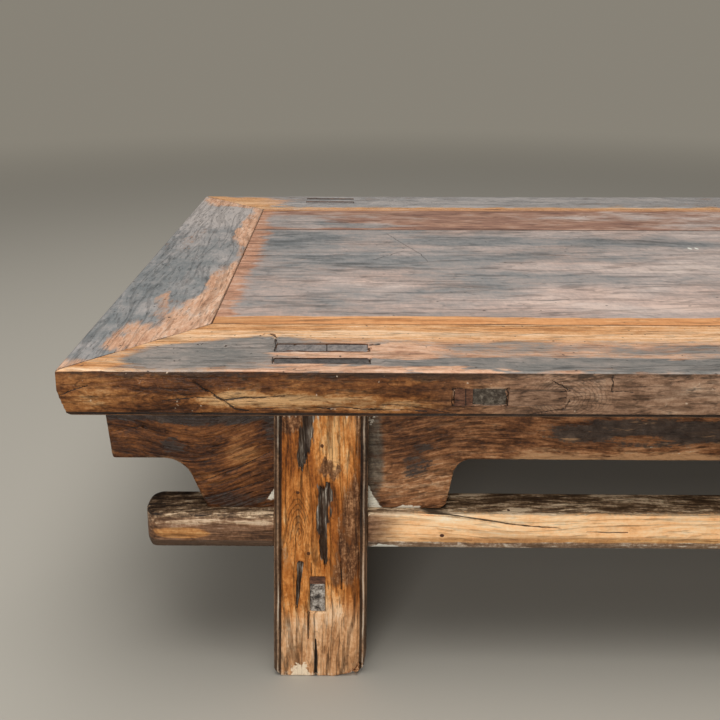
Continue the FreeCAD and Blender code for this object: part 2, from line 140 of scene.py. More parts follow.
# Burnt streaks, checks and cracks by node and face: depth, then points with half widths
grooves = {
    ("leg_front_left", FRONT): [
        (0.0022, [(-0.4955, 0.258, 0.0075), (-0.4962, 0.25, 0.0076), (-0.4975, 0.2395, 0.0072),
            (-0.4994, 0.2275, 0.006), (-0.5027, 0.215, 0.0036), (-0.5046, 0.203, 0.001)]),
        (0.003, [(-0.4796, 0.193, 0.001), (-0.4835, 0.184, 0.0068), (-0.485, 0.1615, 0.0068),
            (-0.4841, 0.143, 0.006), (-0.4837, 0.1245, 0.0036), (-0.4829, 0.112, 0.001)]),
        (0.0022, [(-0.503, 0.117, 0.001), (-0.505, 0.114, 0.0042), (-0.5056, 0.1055, 0.0034),
            (-0.5067, 0.0945, 0.0026), (-0.5072, 0.0845, 0.002), (-0.5079, 0.075, 0.0018),
            (-0.5077, 0.069, 0.0005)]),
        (0.002, [(-0.4977, 0.066, 0.0015), (-0.498, 0.055, 0.0013), (-0.4984, 0.0377, 0.0006)]),
        (0.0026, [(-0.4917, 0.0384, 0.0008), (-0.4914, 0.02, 0.0016), (-0.4918, -0.001, 0.0021)]),
        (0.0014, [(-0.4693, 0.118, 0.0006), (-0.469, 0.105, 0.0014), (-0.4687, 0.09, 0.001)]),
        (0.001, [(-0.495, 0.115, 0.0009), (-0.4952, 0.102, 0.0007)]),
    ],
    ("top_rail_front", FRONT): [
        (0.0014, [(-0.588, 0.29, 0.0008), (-0.58, 0.284, 0.0013), (-0.572, 0.279, 0.0015),
            (-0.565, 0.2737, 0.0017), (-0.5483, 0.276, 0.0016), (-0.5317, 0.2761, 0.0014),
            (-0.515, 0.2782, 0.0009)]),
        (0.0012, [(-0.57, 0.277, 0.0012), (-0.562, 0.27, 0.0014), (-0.5546, 0.2652, 0.0012),
            (-0.543, 0.2625, 0.0008)]),
        (0.001, [(-0.699, 0.277, 0.0007), (-0.688, 0.283, 0.0011), (-0.674, 0.287, 0.0008)]),
        (0.0014, [(-0.2535, 0.2965, 0.0012), (-0.2528, 0.29, 0.0011), (-0.253, 0.2835, 0.0008)]),
        (0.001, [(-0.615, 0.273, 0.0007), (-0.59, 0.2762, 0.001), (-0.565, 0.2755, 0.0008)]),
        (0.0012, [(-0.54, 0.2652, 0.0008), (-0.47, 0.2668, 0.0011), (-0.4, 0.264, 0.0008)]),
        (0.0012, [(-0.685, 0.26, 0.0011), (0.685, 0.26, 0.0011)]),
        (0.003, [(-0.3358, 0.27, 0.0018), (-0.3358, 0.285, 0.0018)]),
        (0.0012, [(-0.37, 0.2858, 0.0007), (-0.3795, 0.2856, 0.0012), (-0.3795, 0.27, 0.0012),
            (-0.37, 0.2696, 0.0007)]),
        (0.001, [(-0.334, 0.2838, 0.0006), (-0.31, 0.2842, 0.0008), (-0.285, 0.2836, 0.0006)]),
        (0.001, [(-0.301, 0.2925, 0.0007), (-0.293, 0.2885, 0.0009), (-0.2845, 0.2838, 0.0006)]),
        (0.001, [(-0.318, 0.261, 0.0006), (-0.296, 0.2655, 0.0007), (-0.288, 0.2675, 0.0006),
            (-0.2855, 0.276, 0.0009)]),
        (0.001, [(-0.254, 0.2836, 0.0005), (-0.236, 0.2834, 0.0006)]),
        (0.001, [(-0.437, 0.2715, 0.0005), (-0.405, 0.267, 0.0008), (-0.372, 0.26, 0.0005)]),
    ],
    ("top_rail_front", TOP): [
        (0.0016, [(-0.542, -0.2925, 0.0011), (-0.538, -0.288, 0.0014), (-0.531, -0.289, 0.0012),
            (-0.527, -0.295, 0.0014), (-0.533, -0.301, 0.0012), (-0.54, -0.299, 0.0011)]),
        (0.0016, [(-0.5272, -0.299, 0.0012), (-0.5266, -0.311, 0.0013), (-0.5266, -0.3284, 0.0014),
            (-0.488, -0.3288, 0.0012), (-0.4455, -0.3284, 0.0013), (-0.445, -0.32, 0.0013)]),
        (0.001, [(-0.5266, -0.343, 0.0012), (-0.5266, -0.3545, 0.0012), (-0.4455, -0.3545, 0.0012),
            (-0.4455, -0.343, 0.0012)]),
        (0.0014, [(-0.596, -0.312, 0.0011), (-0.593, -0.315, 0.0012), (-0.59, -0.3118, 0.0009)]),
        (0.0012, [(-0.57, -0.3185, 0.0009), (-0.566, -0.3125, 0.0011)]),
        (0.0018, [(-0.4445, -0.3135, 0.0016), (-0.437, -0.312, 0.0022)]),
    ],
    ("leg_front_left", TOP): [
        (0.0016, [(-0.5235, -0.327, 0.0012), (-0.5165, -0.32, 0.0012), (-0.5095, -0.3115, 0.0011)]),
        (0.0012, [(-0.4822, -0.311, 0.0007), (-0.4818, -0.327, 0.0007)]),
    ],
    ("long_rail_front", FRONT): [
        (0.0016, [(-0.402, 0.161, 0.0012), (-0.378, 0.1597, 0.0018), (-0.352, 0.1566, 0.0016),
            (-0.318, 0.151, 0.0012), (-0.28, 0.1478, 0.0007)]),
        (0.0012, [(-0.257, 0.1447, 0.0006), (-0.24, 0.144, 0.001), (-0.222, 0.1443, 0.0006)]),
    ],
    ("apron_front", FRONT): [
        (0.001, [(-0.591, 0.185, 0.0006), (-0.563, 0.196, 0.001), (-0.529, 0.2144, 0.0009)]),
        (0.001, [(-0.588, 0.169, 0.0008), (-0.56, 0.178, 0.0011), (-0.529, 0.189, 0.0009)]),
        (0.001, [(-0.666, 0.232, 0.0006), (-0.636, 0.2377, 0.0008)]),
    ],
}

# Scratches and cracks in the panel: points with half widths
scratch_routes = [
    [(-0.4055, 0.0988, 0.001), (-0.386, 0.04, 0.0013), (-0.3703, -0.006, 0.0012),
     (-0.364, -0.0426, 0.0009)],
    [(-0.43, -0.037, 0.0012), (-0.412, -0.017, 0.0014), (-0.389, 0.006, 0.001)],
    [(-0.457, -0.125, 0.0008), (-0.386, -0.1262, 0.0014), (-0.315, -0.125, 0.0008)],
    [(-0.093, 0.009, 0.001), (0.03, 0.008, 0.002), (0.15, 0.009, 0.001)],
    [(-0.58, 0.0006, 0.0016), (-0.572, 0.001, 0.0024), (-0.562, 0.006, 0.001)],
]

# Legs: how far out the middle lies and the half width, at the head and at the foot
leg_head = (0.4861, 0.0394)
leg_foot = (0.4878, 0.0418)

# A groove beside the bead on each edge of both faces of the legs
bead_inset = 0.0065
bead_low_z = 0.006
bead_width = 0.0013
bead_depth = 0.0007
for leg_x, side_x in ((-1, "left"), (1, "right")):
    for side_y in ("front", "back"):
        node = "leg_%s_%s" % (side_y, side_x)
        for face in (FRONT, BACK):
            for edge in (-1, 1):
                line = [(leg_x * middle + edge * (half - bead_inset), z, bead_width)
                        for z, (middle, half) in ((under_z, leg_head), (bead_low_z, leg_foot))]
                grooves.setdefault((node, face), []).append((bead_depth, line))


def widest(route):
    return max(width for a, b, width in route)


def thin_routes(node, face):
    """The cracks in a face of a node that are no more than lines."""
    return [route for depth, route in grooves[node, face]
            if depth > painted_depth and widest(route) <= thin_crack]


# The cuts that part each frame member from the ring: a point and the way out of the member there
table_middle = (0, 0, 0)
front_left = (-half_length, -half_depth, 0)
front_right = (half_length, -half_depth, 0)
back_left = (-half_length, half_depth, 0)
back_right = (half_length, half_depth, 0)
mitres = {
    "top_rail_front": [(table_middle, (0, 1, 0)), (front_left, (-1, 1, 0)), (front_right, (1, 1, 0))],
    "top_rail_back": [(table_middle, (0, -1, 0)), (back_left, (-1, -1, 0)), (back_right, (1, -1, 0))],
    "top_end_left": [(front_left, (1, -1, 0)), (back_left, (1, 1, 0))],
    "top_end_right": [(front_right, (-1, -1, 0)), (back_right, (-1, 1, 0))],
}
ring_voxel = 0.0012
ring_faces = 190000
mitre_width = 0.0011
mitre_depth = 0.0006
for x_sign in (-1, 1):
    for node, y_sign in (("top_rail_front", -1), ("top_rail_back", 1)):
        line = [(x_sign * half_length, y_sign * half_depth, mitre_width),
                (x_sign * inner_x, y_sign * inner_y, mitre_width)]
        grooves.setdefault((node, TOP), []).append((mitre_depth, line))

# Which way the grain runs, how fine the mesh is and how many faces it keeps, then the nodes
along_x = (0, 1, 2)
along_y = (1, 0, 2)
along_z = (2, 0, 1)
piece_rows = [
    (along_x, ring_voxel, ring_faces, "top_rail_front", "top_rail_back"),
    (along_y, ring_voxel, ring_faces, "top_end_left", "top_end_right"),
    (along_x, coarse_voxel, 24000, "panel_board_front"),
    (along_x, coarse_voxel, 16000, "panel_board_middle", "panel_board_back"),
    (along_z, leg_voxel, 70000, "leg_front_left"),
    (along_z, fine_voxel, 30000, "leg_front_right", "leg_back_left", "leg_back_right"),
    (along_x, middle_voxel, 36000, "apron_front"),
    (along_x, coarse_voxel, 18000, "apron_back"),
    (along_y, coarse_voxel, 8000, "end_apron_left", "end_apron_right"),
    (along_x, fine_voxel, 50000, "long_rail_front"),
    (along_x, coarse_voxel, 18000, "long_rail_back"),
    (along_y, middle_voxel, 12000, "side_stretcher_left", "side_stretcher_right"),
    (along_y, coarse_voxel, 6000, "brace_left", "brace_middle", "brace_right"),
]
pieces = {node: (axes, voxel, faces) for axes, voxel, faces, *nodes in piece_rows for node in nodes}

# Where the grain of a node runs aslant: place along it, reach and slope
grain_slopes = [
    ("apron_front", -0.555, 0.06, 0.45),
    ("apron_front", -0.405, 0.07, 0.22),
    ("long_rail_front", -0.36, 0.08, -0.1),
]
slots = {row["node"]: row["material_slot"] for row in frame["record"]["subparts"]}


# Repeatable noise on arrays of points, from large numbers that scatter its values
lattice_steps = (374761393, 668265263, 362437)
seed_step = 977
lattice_factor = 1274126177
low_bits = 0x7FFFFFFF
last_bits = 0xFFFF


def lattice(cell, seed):
    """A value from -1 to 1 for each whole-number point."""
    mixed = seed * seed_step + sum(cell[:, axis] * step for axis, step in enumerate(lattice_steps))
    mixed = (mixed ^ (mixed >> 13)) & low_bits
    mixed = (mixed * lattice_factor) & low_bits
    mixed = (mixed ^ (mixed >> 16)) & last_bits
    return mixed / (last_bits / 2) - 1


def noise(points, size, seed):
    """Smooth noise from -1 to 1, with bumps about as large as size."""
    scaled = points / size
    cell = np.floor(scaled).astype(np.int64)
    part = scaled - cell
    ease = part * part * (3 - 2 * part)
    total = np.zeros(len(points))
    for corner in np.ndindex(2, 2, 2):
        weight = np.prod(np.where(corner, ease, 1 - ease), axis=1)
        total += weight * lattice(cell + np.array(corner), seed)
    return total


def layered(points, size, seed, layers=3):
    """Noise with finer layers added, each half as strong."""
    total = np.zeros(len(points))
    for layer in range(layers):
        total += noise(points, size / 2**layer, seed + layer) / 2**layer
    return total


# Arrises of the solids, apart from those closed by a neighbour
def welded(node):
    mesh = bmesh.new()
    mesh.from_mesh(frame["nodes"][node].data)
    bmesh.ops.remove_doubles(mesh, verts=mesh.verts, dist=weld_reach)
    return mesh


solids = {node: welded(node) for node in frame["nodes"]}
surfaces = {node: BVHTree.FromBMesh(mesh) for node, mesh in solids.items()}
boxes = {node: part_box(node) for node in frame["nodes"]}


def near_box(point, node):
    low, high = boxes[node]
    inside = [a - joined_reach <= p <= b + joined_reach for a, p, b in zip(low, point, high)]
    return all(inside)


def touches_neighbour(point, node):
    others = (other for other in surfaces if other != node and near_box(point, other))
    return any(surfaces[other].find_nearest(point, joined_reach)[0] for other in others)


def edge_points(node):
    """Middles of short stretches of a node's convex edges, with half of each stretch."""
    for edge in solids[node].edges:
        if len(edge.link_faces) == 2 and edge.calc_face_angle_signed() > arris_angle:
            start, end = (vert.co for vert in edge.verts)
            count = max(1, round((end - start).length / arris_step))
            half = (end - start) / (2 * count)
            for index in range(count):
                yield start + half * (2 * index + 1), half


def free_arrises(nodes):
    """Stretches of the edges of some nodes that nothing else closes, with a search tree."""
    found = [(point, half) for node in nodes for point, half in edge_points(node)
             if not touches_neighbour(point, node)]
    tree = kdtree.KDTree(len(found))
    for index, (point, half) in enumerate(found):
        tree.insert(point, index)
    tree.balance()
    middles = np.array([point for point, half in found]).reshape(-1, 3)
    halves = np.array([half for point, half in found]).reshape(-1, 3)
    return tree, middles, halves


# Mesh work
def read_vectors(items, field):
    """One vector for each of a mesh's vertices, as an array."""
    values = np.zeros(len(items) * 3, np.float32)
    items.foreach_get(field, values)
    return values.reshape(-1, 3).astype(float)


def read_mesh(mesh):
    return read_vectors(mesh.vertices, "co"), read_vectors(mesh.vertex_normals, "vector")


def add_object(name, data):
    obj = bpy.data.objects.new(name, data)
    bpy.context.scene.collection.objects.link(obj)
    return obj


def with_modifier(obj, kind, **settings):
    """The object's mesh after one modifier, as its new mesh."""
    modifier = obj.modifiers.new(kind, kind)
    for key, value in settings.items():
        setattr(modifier, key, value)
    ready = obj.evaluated_get(bpy.context.evaluated_depsgraph_get())
    mesh = bpy.data.meshes.new_from_object(ready)
    obj.modifiers.clear()
    old = obj.data
    obj.data = mesh
    bpy.data.meshes.remove(old)


def groove_mask(flat, rag, route):
    """How far each point lies in a groove, from 0 outside to 1 on its line."""
    best = np.zeros(len(flat))
    for (a0, b0, w0), (a1, b1, w1) in zip(route, route[1:]):
        start = np.array((a0, b0))
        run = np.array((a1, b1)) - start
        share = np.clip(((flat - start) @ run) / (run @ run), 0, 1)
        gap = np.linalg.norm(flat - start - share[:, None] * run, axis=1)
        width = (w0 + (w1 - w0) * share) * rag
        best = np.maximum(best, np.clip(groove_slope * (1 - gap / width), 0, 1))
    return best


def grooves_of(nodes, points, normals, least=0):
    """Depth at each point of the grooves at least so wide, with sides that fray along the grain."""
    axes = list(pieces[nodes[0]][0])
    depth = np.zeros(len(points))
    cuts = ((face, *cut) for (node, face), rows in grooves.items() if node in nodes for cut in rows)
    for face, most, route in cuts:
        if widest(route) < least:
            continue
        spans = np.array(route)[:, :2]
        plane = list(face[:2])
        low = spans.min(axis=0) - groove_margin
        high = spans.max(axis=0) + groove_margin
        inside = np.all((points[:, plane] > low) & (points[:, plane] < high), axis=1)
        near = np.nonzero(inside & (normals[:, face[2]] * face[3] > groove_facing))[0]
        turned = points[near][:, axes]
        rag = 1 + rag_swing * layered(turned * np.array(rag_stretch), *rag_noise)
        rag = np.clip(rag, least_rag, None)
        shaken = points[near]
        fray = fray_share * max(0, widest(route) - thin_crack)
        shaken[:, axes[0]] += fray * layered(turned * np.array(fray_stretch), *fray_noise)
        depth[near] = np.maximum(depth[near], most * groove_mask(shaken[:, plane], rag, route))
    return depth


def cell_keys(points):
    """One whole number for the cell of space that each point lies in."""
    cells = np.floor(points / arris_cell).astype(np.int64)
    return cells @ np.array(cell_steps)


def near_arrises(points, middles):
    """Which points lie in a cell that holds a stretch of arris, or beside one."""
    steps = (np.array(step) - 1 for step in np.ndindex(3, 3, 3))
    keys = np.unique(np.concatenate([cell_keys(middles + step * arris_cell) for step in steps]))
    return np.nonzero(np.isin(cell_keys(points), keys))[0]


def arris_gap(arrises, points):
    """Distance of each point from the nearest free arris, a metre where none is near."""
    tree, middles, halves = arrises
    gap = np.ones(len(points))
    near = near_arrises(points, middles) if len(middles) else []
    if len(near):
        found = [tree.find(point)[1] for point in points[near]]
        apart = points[near] - middles[found]
        half = halves[found]
        share = np.sum(apart * half, axis=1) / np.sum(half * half, axis=1)
        gap[near] = np.linalg.norm(apart - np.clip(share, -1, 1)[:, None] * half, axis=1)
    return gap


def wear(obj, nodes, arrises):
    """Rubs the free arrises down unevenly, chips them, and opens the cracks."""
    points, normals = read_mesh(obj.data)
    gap = arris_gap(arrises, points)
    reach = wear_reach * (wear_mean + wear_swing * layered(points, *wear_noise))
    reach += chip_reach * np.clip(layered(points, *chip_noise) - chip_level, 0, 1)
    for name, place, size, depth in chips:
        if name in nodes:
            far = np.linalg.norm(points - np.array(place), axis=1) / size
            reach += depth * np.clip(1 - far, 0, 1)
    reach = np.clip(reach, least_wear, None)
    rubbed = corner_share * reach * np.clip(1 - gap / reach, 0, 1) ** 2
    sunk = wave_height * layered(points, *wave_noise)
    moved = points - normals * (rubbed + sunk + grooves_of(nodes, points, normals))[:, None]
    moved[:, 2] = np.maximum(moved[:, 2], cad_low[2])
    obj.data.vertices.foreach_set("co", moved.astype(np.float32).ravel())


def mark(obj, name, values):
    """Stores one number, or one vector, at each vertex for the materials."""
    kind, field = ("FLOAT", "value") if values.ndim == 1 else ("FLOAT_VECTOR", "vector")
    attribute = obj.data.attributes.new(name, kind, "POINT")
    attribute.data.foreach_set(field, values.astype(np.float32).ravel())


def grain_of(node, points, seed):
    """Points turned so that the grain runs along their first axis, and bent a little."""
    turned = points[:, pieces[node][0]]
    for name, middle, reach, slope in grain_slopes:
        if name == node:
            far = turned[:, 0] - middle
            turned[:, 2] -= slope * far * np.exp(-((far / reach) ** 2))
    stretched = turned * np.array(grain_stretch)
    bend = sum(height * layered(stretched, size, seed + step) for height, size, step in grain_bends)
    return turned + bend[:, None] * np.array(bend_shares) + seed * np.array(grain_offset)


def remeshed(nodes, voxel, faces):
    """One even mesh over some nodes, worn and then thinned to a number of faces."""
    joined = bmesh.new()
    for node in nodes:
        joined.from_mesh(frame["nodes"][node].data)
    mesh = bpy.data.meshes.new(nodes[0] + "_worn")
    joined.to_mesh(mesh)
    obj = add_object(nodes[0] + "_worn", mesh)
    with_modifier(obj, "REMESH", mode="VOXEL", voxel_size=voxel)
    arrises = free_arrises(nodes)
    wear(obj, nodes, arrises)
    ratio = faces / (2 * len(obj.data.polygons))
    if ratio < 1:
        with_modifier(obj, "DECIMATE", ratio=ratio)
    return obj, arrises


def dress(obj, node, arrises, index):
    """Gives a piece what the materials read, and puts it in the place of its node."""
    points, normals = read_mesh(obj.data)
    mark(obj, "grain", grain_of(node, points, index + 1))
    mark(obj, "arris", np.exp(-arris_gap(arrises, points) / arris_fade))
    charred = grooves_of([node], points, normals, thin_crack) / cavity_depth
    mark(obj, "cavity", np.clip(charred, 0, 1))
    obj.data.shade_smooth()
    obj.data.set_sharp_from_angle(angle=crisp_angle)
    obj.data.materials.clear()
    obj.data.materials.append(finishes[slots[node]])
    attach(obj, "root")
    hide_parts(node)


def cut_member(ring, node):
    """The part of the frame's ring that lies between the cuts of a member."""
    mesh = bmesh.new()
    mesh.from_mesh(ring.data)
    for corner, outward in mitres[node]:
        parts = mesh.verts[:] + mesh.edges[:] + mesh.faces[:]
        cut = bmesh.ops.bisect_plane(
            mesh, geom=parts, plane_co=corner, plane_no=outward, clear_outer=True)
        rim = [item for item in cut["geom_cut"] if isinstance(item, bmesh.types.BMEdge)]
        if rim:
            bmesh.ops.triangle_fill(mesh, edges=rim, use_beauty=True)
    member = bpy.data.meshes.new(node + "_worn")
    mesh.to_mesh(member)
    return add_object(node + "_worn", member)


# Materials: colours that several finishes share, and where the front of the table begins
raw_under = (0.13, 0.085, 0.055)
pale_dust = (0.62, 0.55, 0.44)
putty_color = (0.7, 0.65, 0.53)
# Black of the smears on the frame's edge, also used there as painted shade
smear_and_shade_black = (0.02, 0.012, 0.008)
crack_color = (0.016, 0.01, 0.007)
front_half = (-0.3, -0.34)


class Shader:
    """Node tree of one procedural material."""

    def __init__(self, name):
        self.material = bpy.data.materials.new(name)
        self.material.use_nodes = True
        self.tree = self.material.node_tree
        self.surface = self.tree.nodes["Principled BSDF"]
        self.place = self.node("ShaderNodeTexCoord").outputs["Object"]
        self.x, self.y, self.z = self.split(self.place)
        facing = self.node("ShaderNodeNewGeometry").outputs["Normal"]
        self.facing_z = self.split(facing)[2]
        self.grain = self.stored("grain").outputs["Vector"]
        self.arris = self.stored("arris").outputs["Fac"]
        self.cavity = self.stored("cavity").outputs["Fac"]

    def node(self, kind, inputs=None, **settings):
        made = self.tree.nodes.new(kind)
        for key, value in settings.items():
            setattr(made, key, value)
        for key, value in (inputs or {}).items():
            self.put(made.inputs[key], value)
        return made

    def put(self, socket, value):
        if isinstance(value, bpy.types.NodeSocket):
            self.tree.links.new(value, socket)
        elif isinstance(value, tuple) and socket.type == "RGBA":
            socket.default_value = (*value, 1)
        else:
            socket.default_value = value

    def stored(self, name):
        return self.node("ShaderNodeAttribute", attribute_name=name)

    def split(self, vector):
        return self.node("ShaderNodeSeparateXYZ", {0: vector}).outputs

    def math(self, operation, first, second=0, third=0):
        inputs = {0: first, 1: second, 2: third}
        return self.node("ShaderNodeMath", inputs, operation=operation).outputs[0]

    def vector(self, operation, first, second):
        made = self.node("ShaderNodeVectorMath", {0: first, 1: second}, operation=operation)
        return made.outputs[0]

    def add(self, *values):
        total = values[0]
        for value in values[1:]:
            total = self.math("ADD", total, value)
        return total

    def minus(self, first, second):
        return self.math("SUBTRACT", first, second)

    def times(self, first, second):
        return self.math("MULTIPLY", first, second)

    def size(self, value):
        return self.math("ABSOLUTE", value)

    def length(self, a, b):
        return self.math("SQRT", self.math("MULTIPLY_ADD", a, a, self.times(b, b)))

    def least(self, *values):
        total = values[0]
        for value in values[1:]:
            total = self.math("MINIMUM", total, value)
        return total

    def around(self, value, strength):
        """A noise value turned to swing so far to both sides of nought."""
        return self.math("MULTIPLY_ADD", value, strength, -0.5 * strength)

    def swing(self, *parts):
        """Sum of noises that swing to both sides of nought, each given with its strength."""
        return self.add(*[self.around(value, strength) for value, strength in parts])

    def tone(self, *parts):
        """Half, swung up and down by noises, each given with its strength."""
        return self.add(self.swing(*parts), 0.5)

    def relief(self, fine, grit, hair, pores, sunk=-0.35):
        """Height of a surface, raised by streaks and grit and lower in lines and pores."""
        parts = ((fine, 0.5), (grit, 0.3), (hair, -0.3), (pores, sunk))
        return self.add(*[self.times(value, share) for value, share in parts])

    def smooth(self, value, start, end, low=0, high=1):
        """Goes smoothly from low at start to high at end."""
        inputs = {0: value, 1: start, 2: end, 3: low, 4: high}
        made = self.node("ShaderNodeMapRange", inputs, interpolation_type="SMOOTHSTEP")
        return made.outputs[0]

    def noise(self, vector, scale=1, detail=2, roughness=0.55, output="Fac"):
        inputs = {"Vector": vector, "Scale": scale, "Detail": detail, "Roughness": roughness}
        return self.node("ShaderNodeTexNoise", inputs).outputs[output]

    def drawn_out(self, along, across):
        return self.vector("MULTIPLY", self.grain, (along, across, across))

    def streaks(self, along, across, detail=3, roughness=0.6):
        """Noise drawn out along the grain, with so many streaks to the metre."""
        return self.noise(self.drawn_out(along, across), 1, detail, roughness)

    def lines(self, along, across, width, detail=1):
        """Thin lines that wander along the grain: 1 on a line, 0 beside it."""
        level = self.streaks(along, across, detail, 0.5)
        return self.smooth(self.size(self.minus(level, 0.5)), width, 0.25 * width)

    def pores(self, along, across, cut):
        """Short dashes along the grain, fewer with a higher cut."""
        return self.smooth(self.streaks(along, across, 1, 0.5), cut, cut + 0.08)

    def pits(self, scale, cut):
        """Scattered dots, fewer with a higher cut."""
        return self.smooth(self.noise(self.place, scale, 1, 0.5), cut, cut + 0.06)

    def rings(self, first, second, middle, stretch, spacing, reach):
        """Thin rings round a knot, which fade out at its reach."""
        a = self.times(self.minus(first, middle[0]), 1 / stretch)
        b = self.minus(second, middle[1])
        far = self.length(a, b)
        wave = self.math("PINGPONG", self.times(far, 1 / spacing), 1)
        return self.times(self.smooth(wave, 0.45, 0.05), self.smooth(far, reach, 0.5 * reach))

    def ragged(self, reach, along, across):
        """Coordinates shaken by streaks, so that what is placed by them frays along the grain."""
        shaken = self.noise(self.drawn_out(along, across), 1, 3, 0.65, "Color")
        offset = self.vector("MULTIPLY", self.vector("SUBTRACT", shaken, (0.5, 0.5, 0.5)), reach)
        return self.split(self.vector("ADD", self.place, offset))

    def strokes(self, first, second, routes):
        """Thin lines along routes of points with half widths: 1 on a line, 0 beside it."""
        total = 0
        for start, end in (pair for route in routes for pair in zip(route, route[1:])):
            run_a, run_b = end[0] - start[0], end[1] - start[1]
            span = run_a**2 + run_b**2
            a = self.minus(first, start[0])
            b = self.minus(second, start[1])
            passed = self.math("MULTIPLY_ADD", a, run_a / span, self.times(b, run_b / span))
            passed = self.node("ShaderNodeClamp", {0: passed}).outputs[0]
            side_a = self.math("MULTIPLY_ADD", passed, -run_a, a)
            side_b = self.math("MULTIPLY_ADD", passed, -run_b, b)
            width = self.math("MULTIPLY_ADD", passed, end[2] - start[2], start[2])
            far = self.math("DIVIDE", self.length(side_a, side_b), width)
            total = self.math("MAXIMUM", self.smooth(far, 0.62, 0.22), total)
        return total

    def mix(self, share, first, second):
        made = self.node("ShaderNodeMix", data_type="RGBA")
        for index, value in ((0, share), (6, first), (7, second)):
            self.put(made.inputs[index], value)
        return made.outputs[2]

    def shade(self, color, factor):
        """Colour made lighter or darker by a factor."""
        made = self.node("ShaderNodeVectorMath", {0: color, "Scale": factor}, operation="SCALE")
        return made.outputs[0]

    def darken(self, color, *marks):
        """Colour that loses some of itself at marks, each given with how much."""
        for share, most in marks:
            color = self.shade(color, self.math("MULTIPLY_ADD", share, -most, 1))
        return color

    def ramp(self, value, stops):
        made = self.node("ShaderNodeValToRGB", {0: value})
        marks = made.color_ramp.elements
        while len(marks) < len(stops):
            marks.new(0.5)
        for item, (place, color) in zip(marks, stops):
            item.position = place
            item.color = (*color, 1)
        return made.outputs[0]

    def spots(self, first, second, table):
        """Sum of soft oval spots: middle, reach and weight of each."""
        total = 0
        for a, b, reach_a, reach_b, weight in table:
            da = self.times(self.minus(first, a), 1 / reach_a)
            db = self.times(self.minus(second, b), 1 / reach_b)
            total = self.add(self.smooth(self.length(da, db), 1.3, 0.5, 0, weight), total)
        return total

    def daub(self, color, first, second, table, tint, most=1):
        """Lays a tint over a colour at the spots of a table."""
        share = self.smooth(self.spots(first, second, table), 0.3, 0.7, 0, most)
        return self.mix(share, color, tint)

    def front_cracks(self, color, node, shake, along, across, most):
        """Darkens the thin cracks in the front face of a node, shaken to run unevenly."""
        wobble_x, _, wobble_z = self.ragged(shake, along, across)
        cracks = self.strokes(wobble_x, wobble_z, thin_routes(node, FRONT))
        share = self.times(cracks, self.smooth(self.y, *front_half, 0, most))
        return self.mix(share, color, crack_color)

    def corner(self, first, second, point, reach):
        """A triangle in the corner of two edges: 1 inside, 0 outside."""
        a = self.times(self.minus(first, point[0]), 1 / reach[0])
        b = self.times(self.minus(second, point[1]), 1 / reach[1])
        room = self.least(self.add(a, 0.1), self.add(b, 0.1), self.minus(1, self.add(a, b)))
        return self.smooth(room, 0, 0.12)

    def finish(self, color, rough, height, depth):
        """Sets colour, roughness and relief, dark in the cracks."""
        charred = self.ramp(self.tone((self.streaks(26, 330, 3, 0.74), 2)), [
            (0.36, (0.012, 0.009, 0.007)), (0.56, (0.06, 0.046, 0.034)), (0.72, (0.2, 0.17, 0.135)),
            (0.86, (0.52, 0.46, 0.38))])
        color = self.mix(self.smooth(self.cavity, 0.15, 0.6, 0, 0.95), color, charred)
        self.put(self.surface.inputs["Base Color"], color)
        self.put(self.surface.inputs["Roughness"], rough)
        self.put(self.surface.inputs["Specular IOR Level"], 0.2)
        bump = self.node("ShaderNodeBump", {"Height": height, "Distance": depth, "Strength": 1})
        self.put(self.surface.inputs["Normal"], bump.outputs["Normal"])
        return self.material


# Where the lacquer of the frame is kept or rubbed off: middle, reach, weight
frame_spots = [
    (-0.612, -0.338, 0.085, 0.024, 0.85),
    (-0.545, -0.318, 0.04, 0.022, 0.6),
    (-0.53, -0.298, 0.022, 0.02, 0.6),
    (-0.36, -0.352, 0.11, 0.011, 0.95),
    (-0.23, -0.357, 0.11, 0.014, 1.1),
    (-0.08, -0.355, 0.11, 0.015, 1),
    (-0.44, -0.3685, 0.11, 0.004, -1.05),
    (-0.48, -0.3365, 0.05, 0.005, -0.9),
    (-0.478, -0.362, 0.07, 0.006, -0.6),
    (-0.415, -0.326, 0.03, 0.014, -0.6),
    (-0.31, -0.318, 0.09, 0.012, 0.2),
    (-0.17, -0.322, 0.08, 0.01, 0.35),
    (-0.606, -0.235, 0.04, 0.062, -1),
    (-0.6, -0.14, 0.017, 0.085, -0.8),
    (-0.6, 0.15, 0.016, 0.12, -1.15),
    (-0.636, 0.316, 0.08, 0.042, -1.1),
    (-0.655, -0.205, 0.01, 0.045, -0.55),
    (-0.66, -0.29, 0.024, 0.034, -0.7),
    (-0.668, 0.06, 0.01, 0.08, -0.35),
]
# Lighter and darker places on the frame's edge: middle, reach, weight
edge_amber = [
    (-0.66, 0.277, 0.04, 0.01, 0.1),
    (-0.545, 0.275, 0.045, 0.009, 0.22),
    (-0.47, 0.271, 0.08, 0.009, 0.24),
    (-0.6, 0.286, 0.05, 0.01, -0.16),
    (-0.44, 0.29, 0.06, 0.008, -0.06),
    (-0.375, 0.283, 0.04, 0.014, -0.1),
]


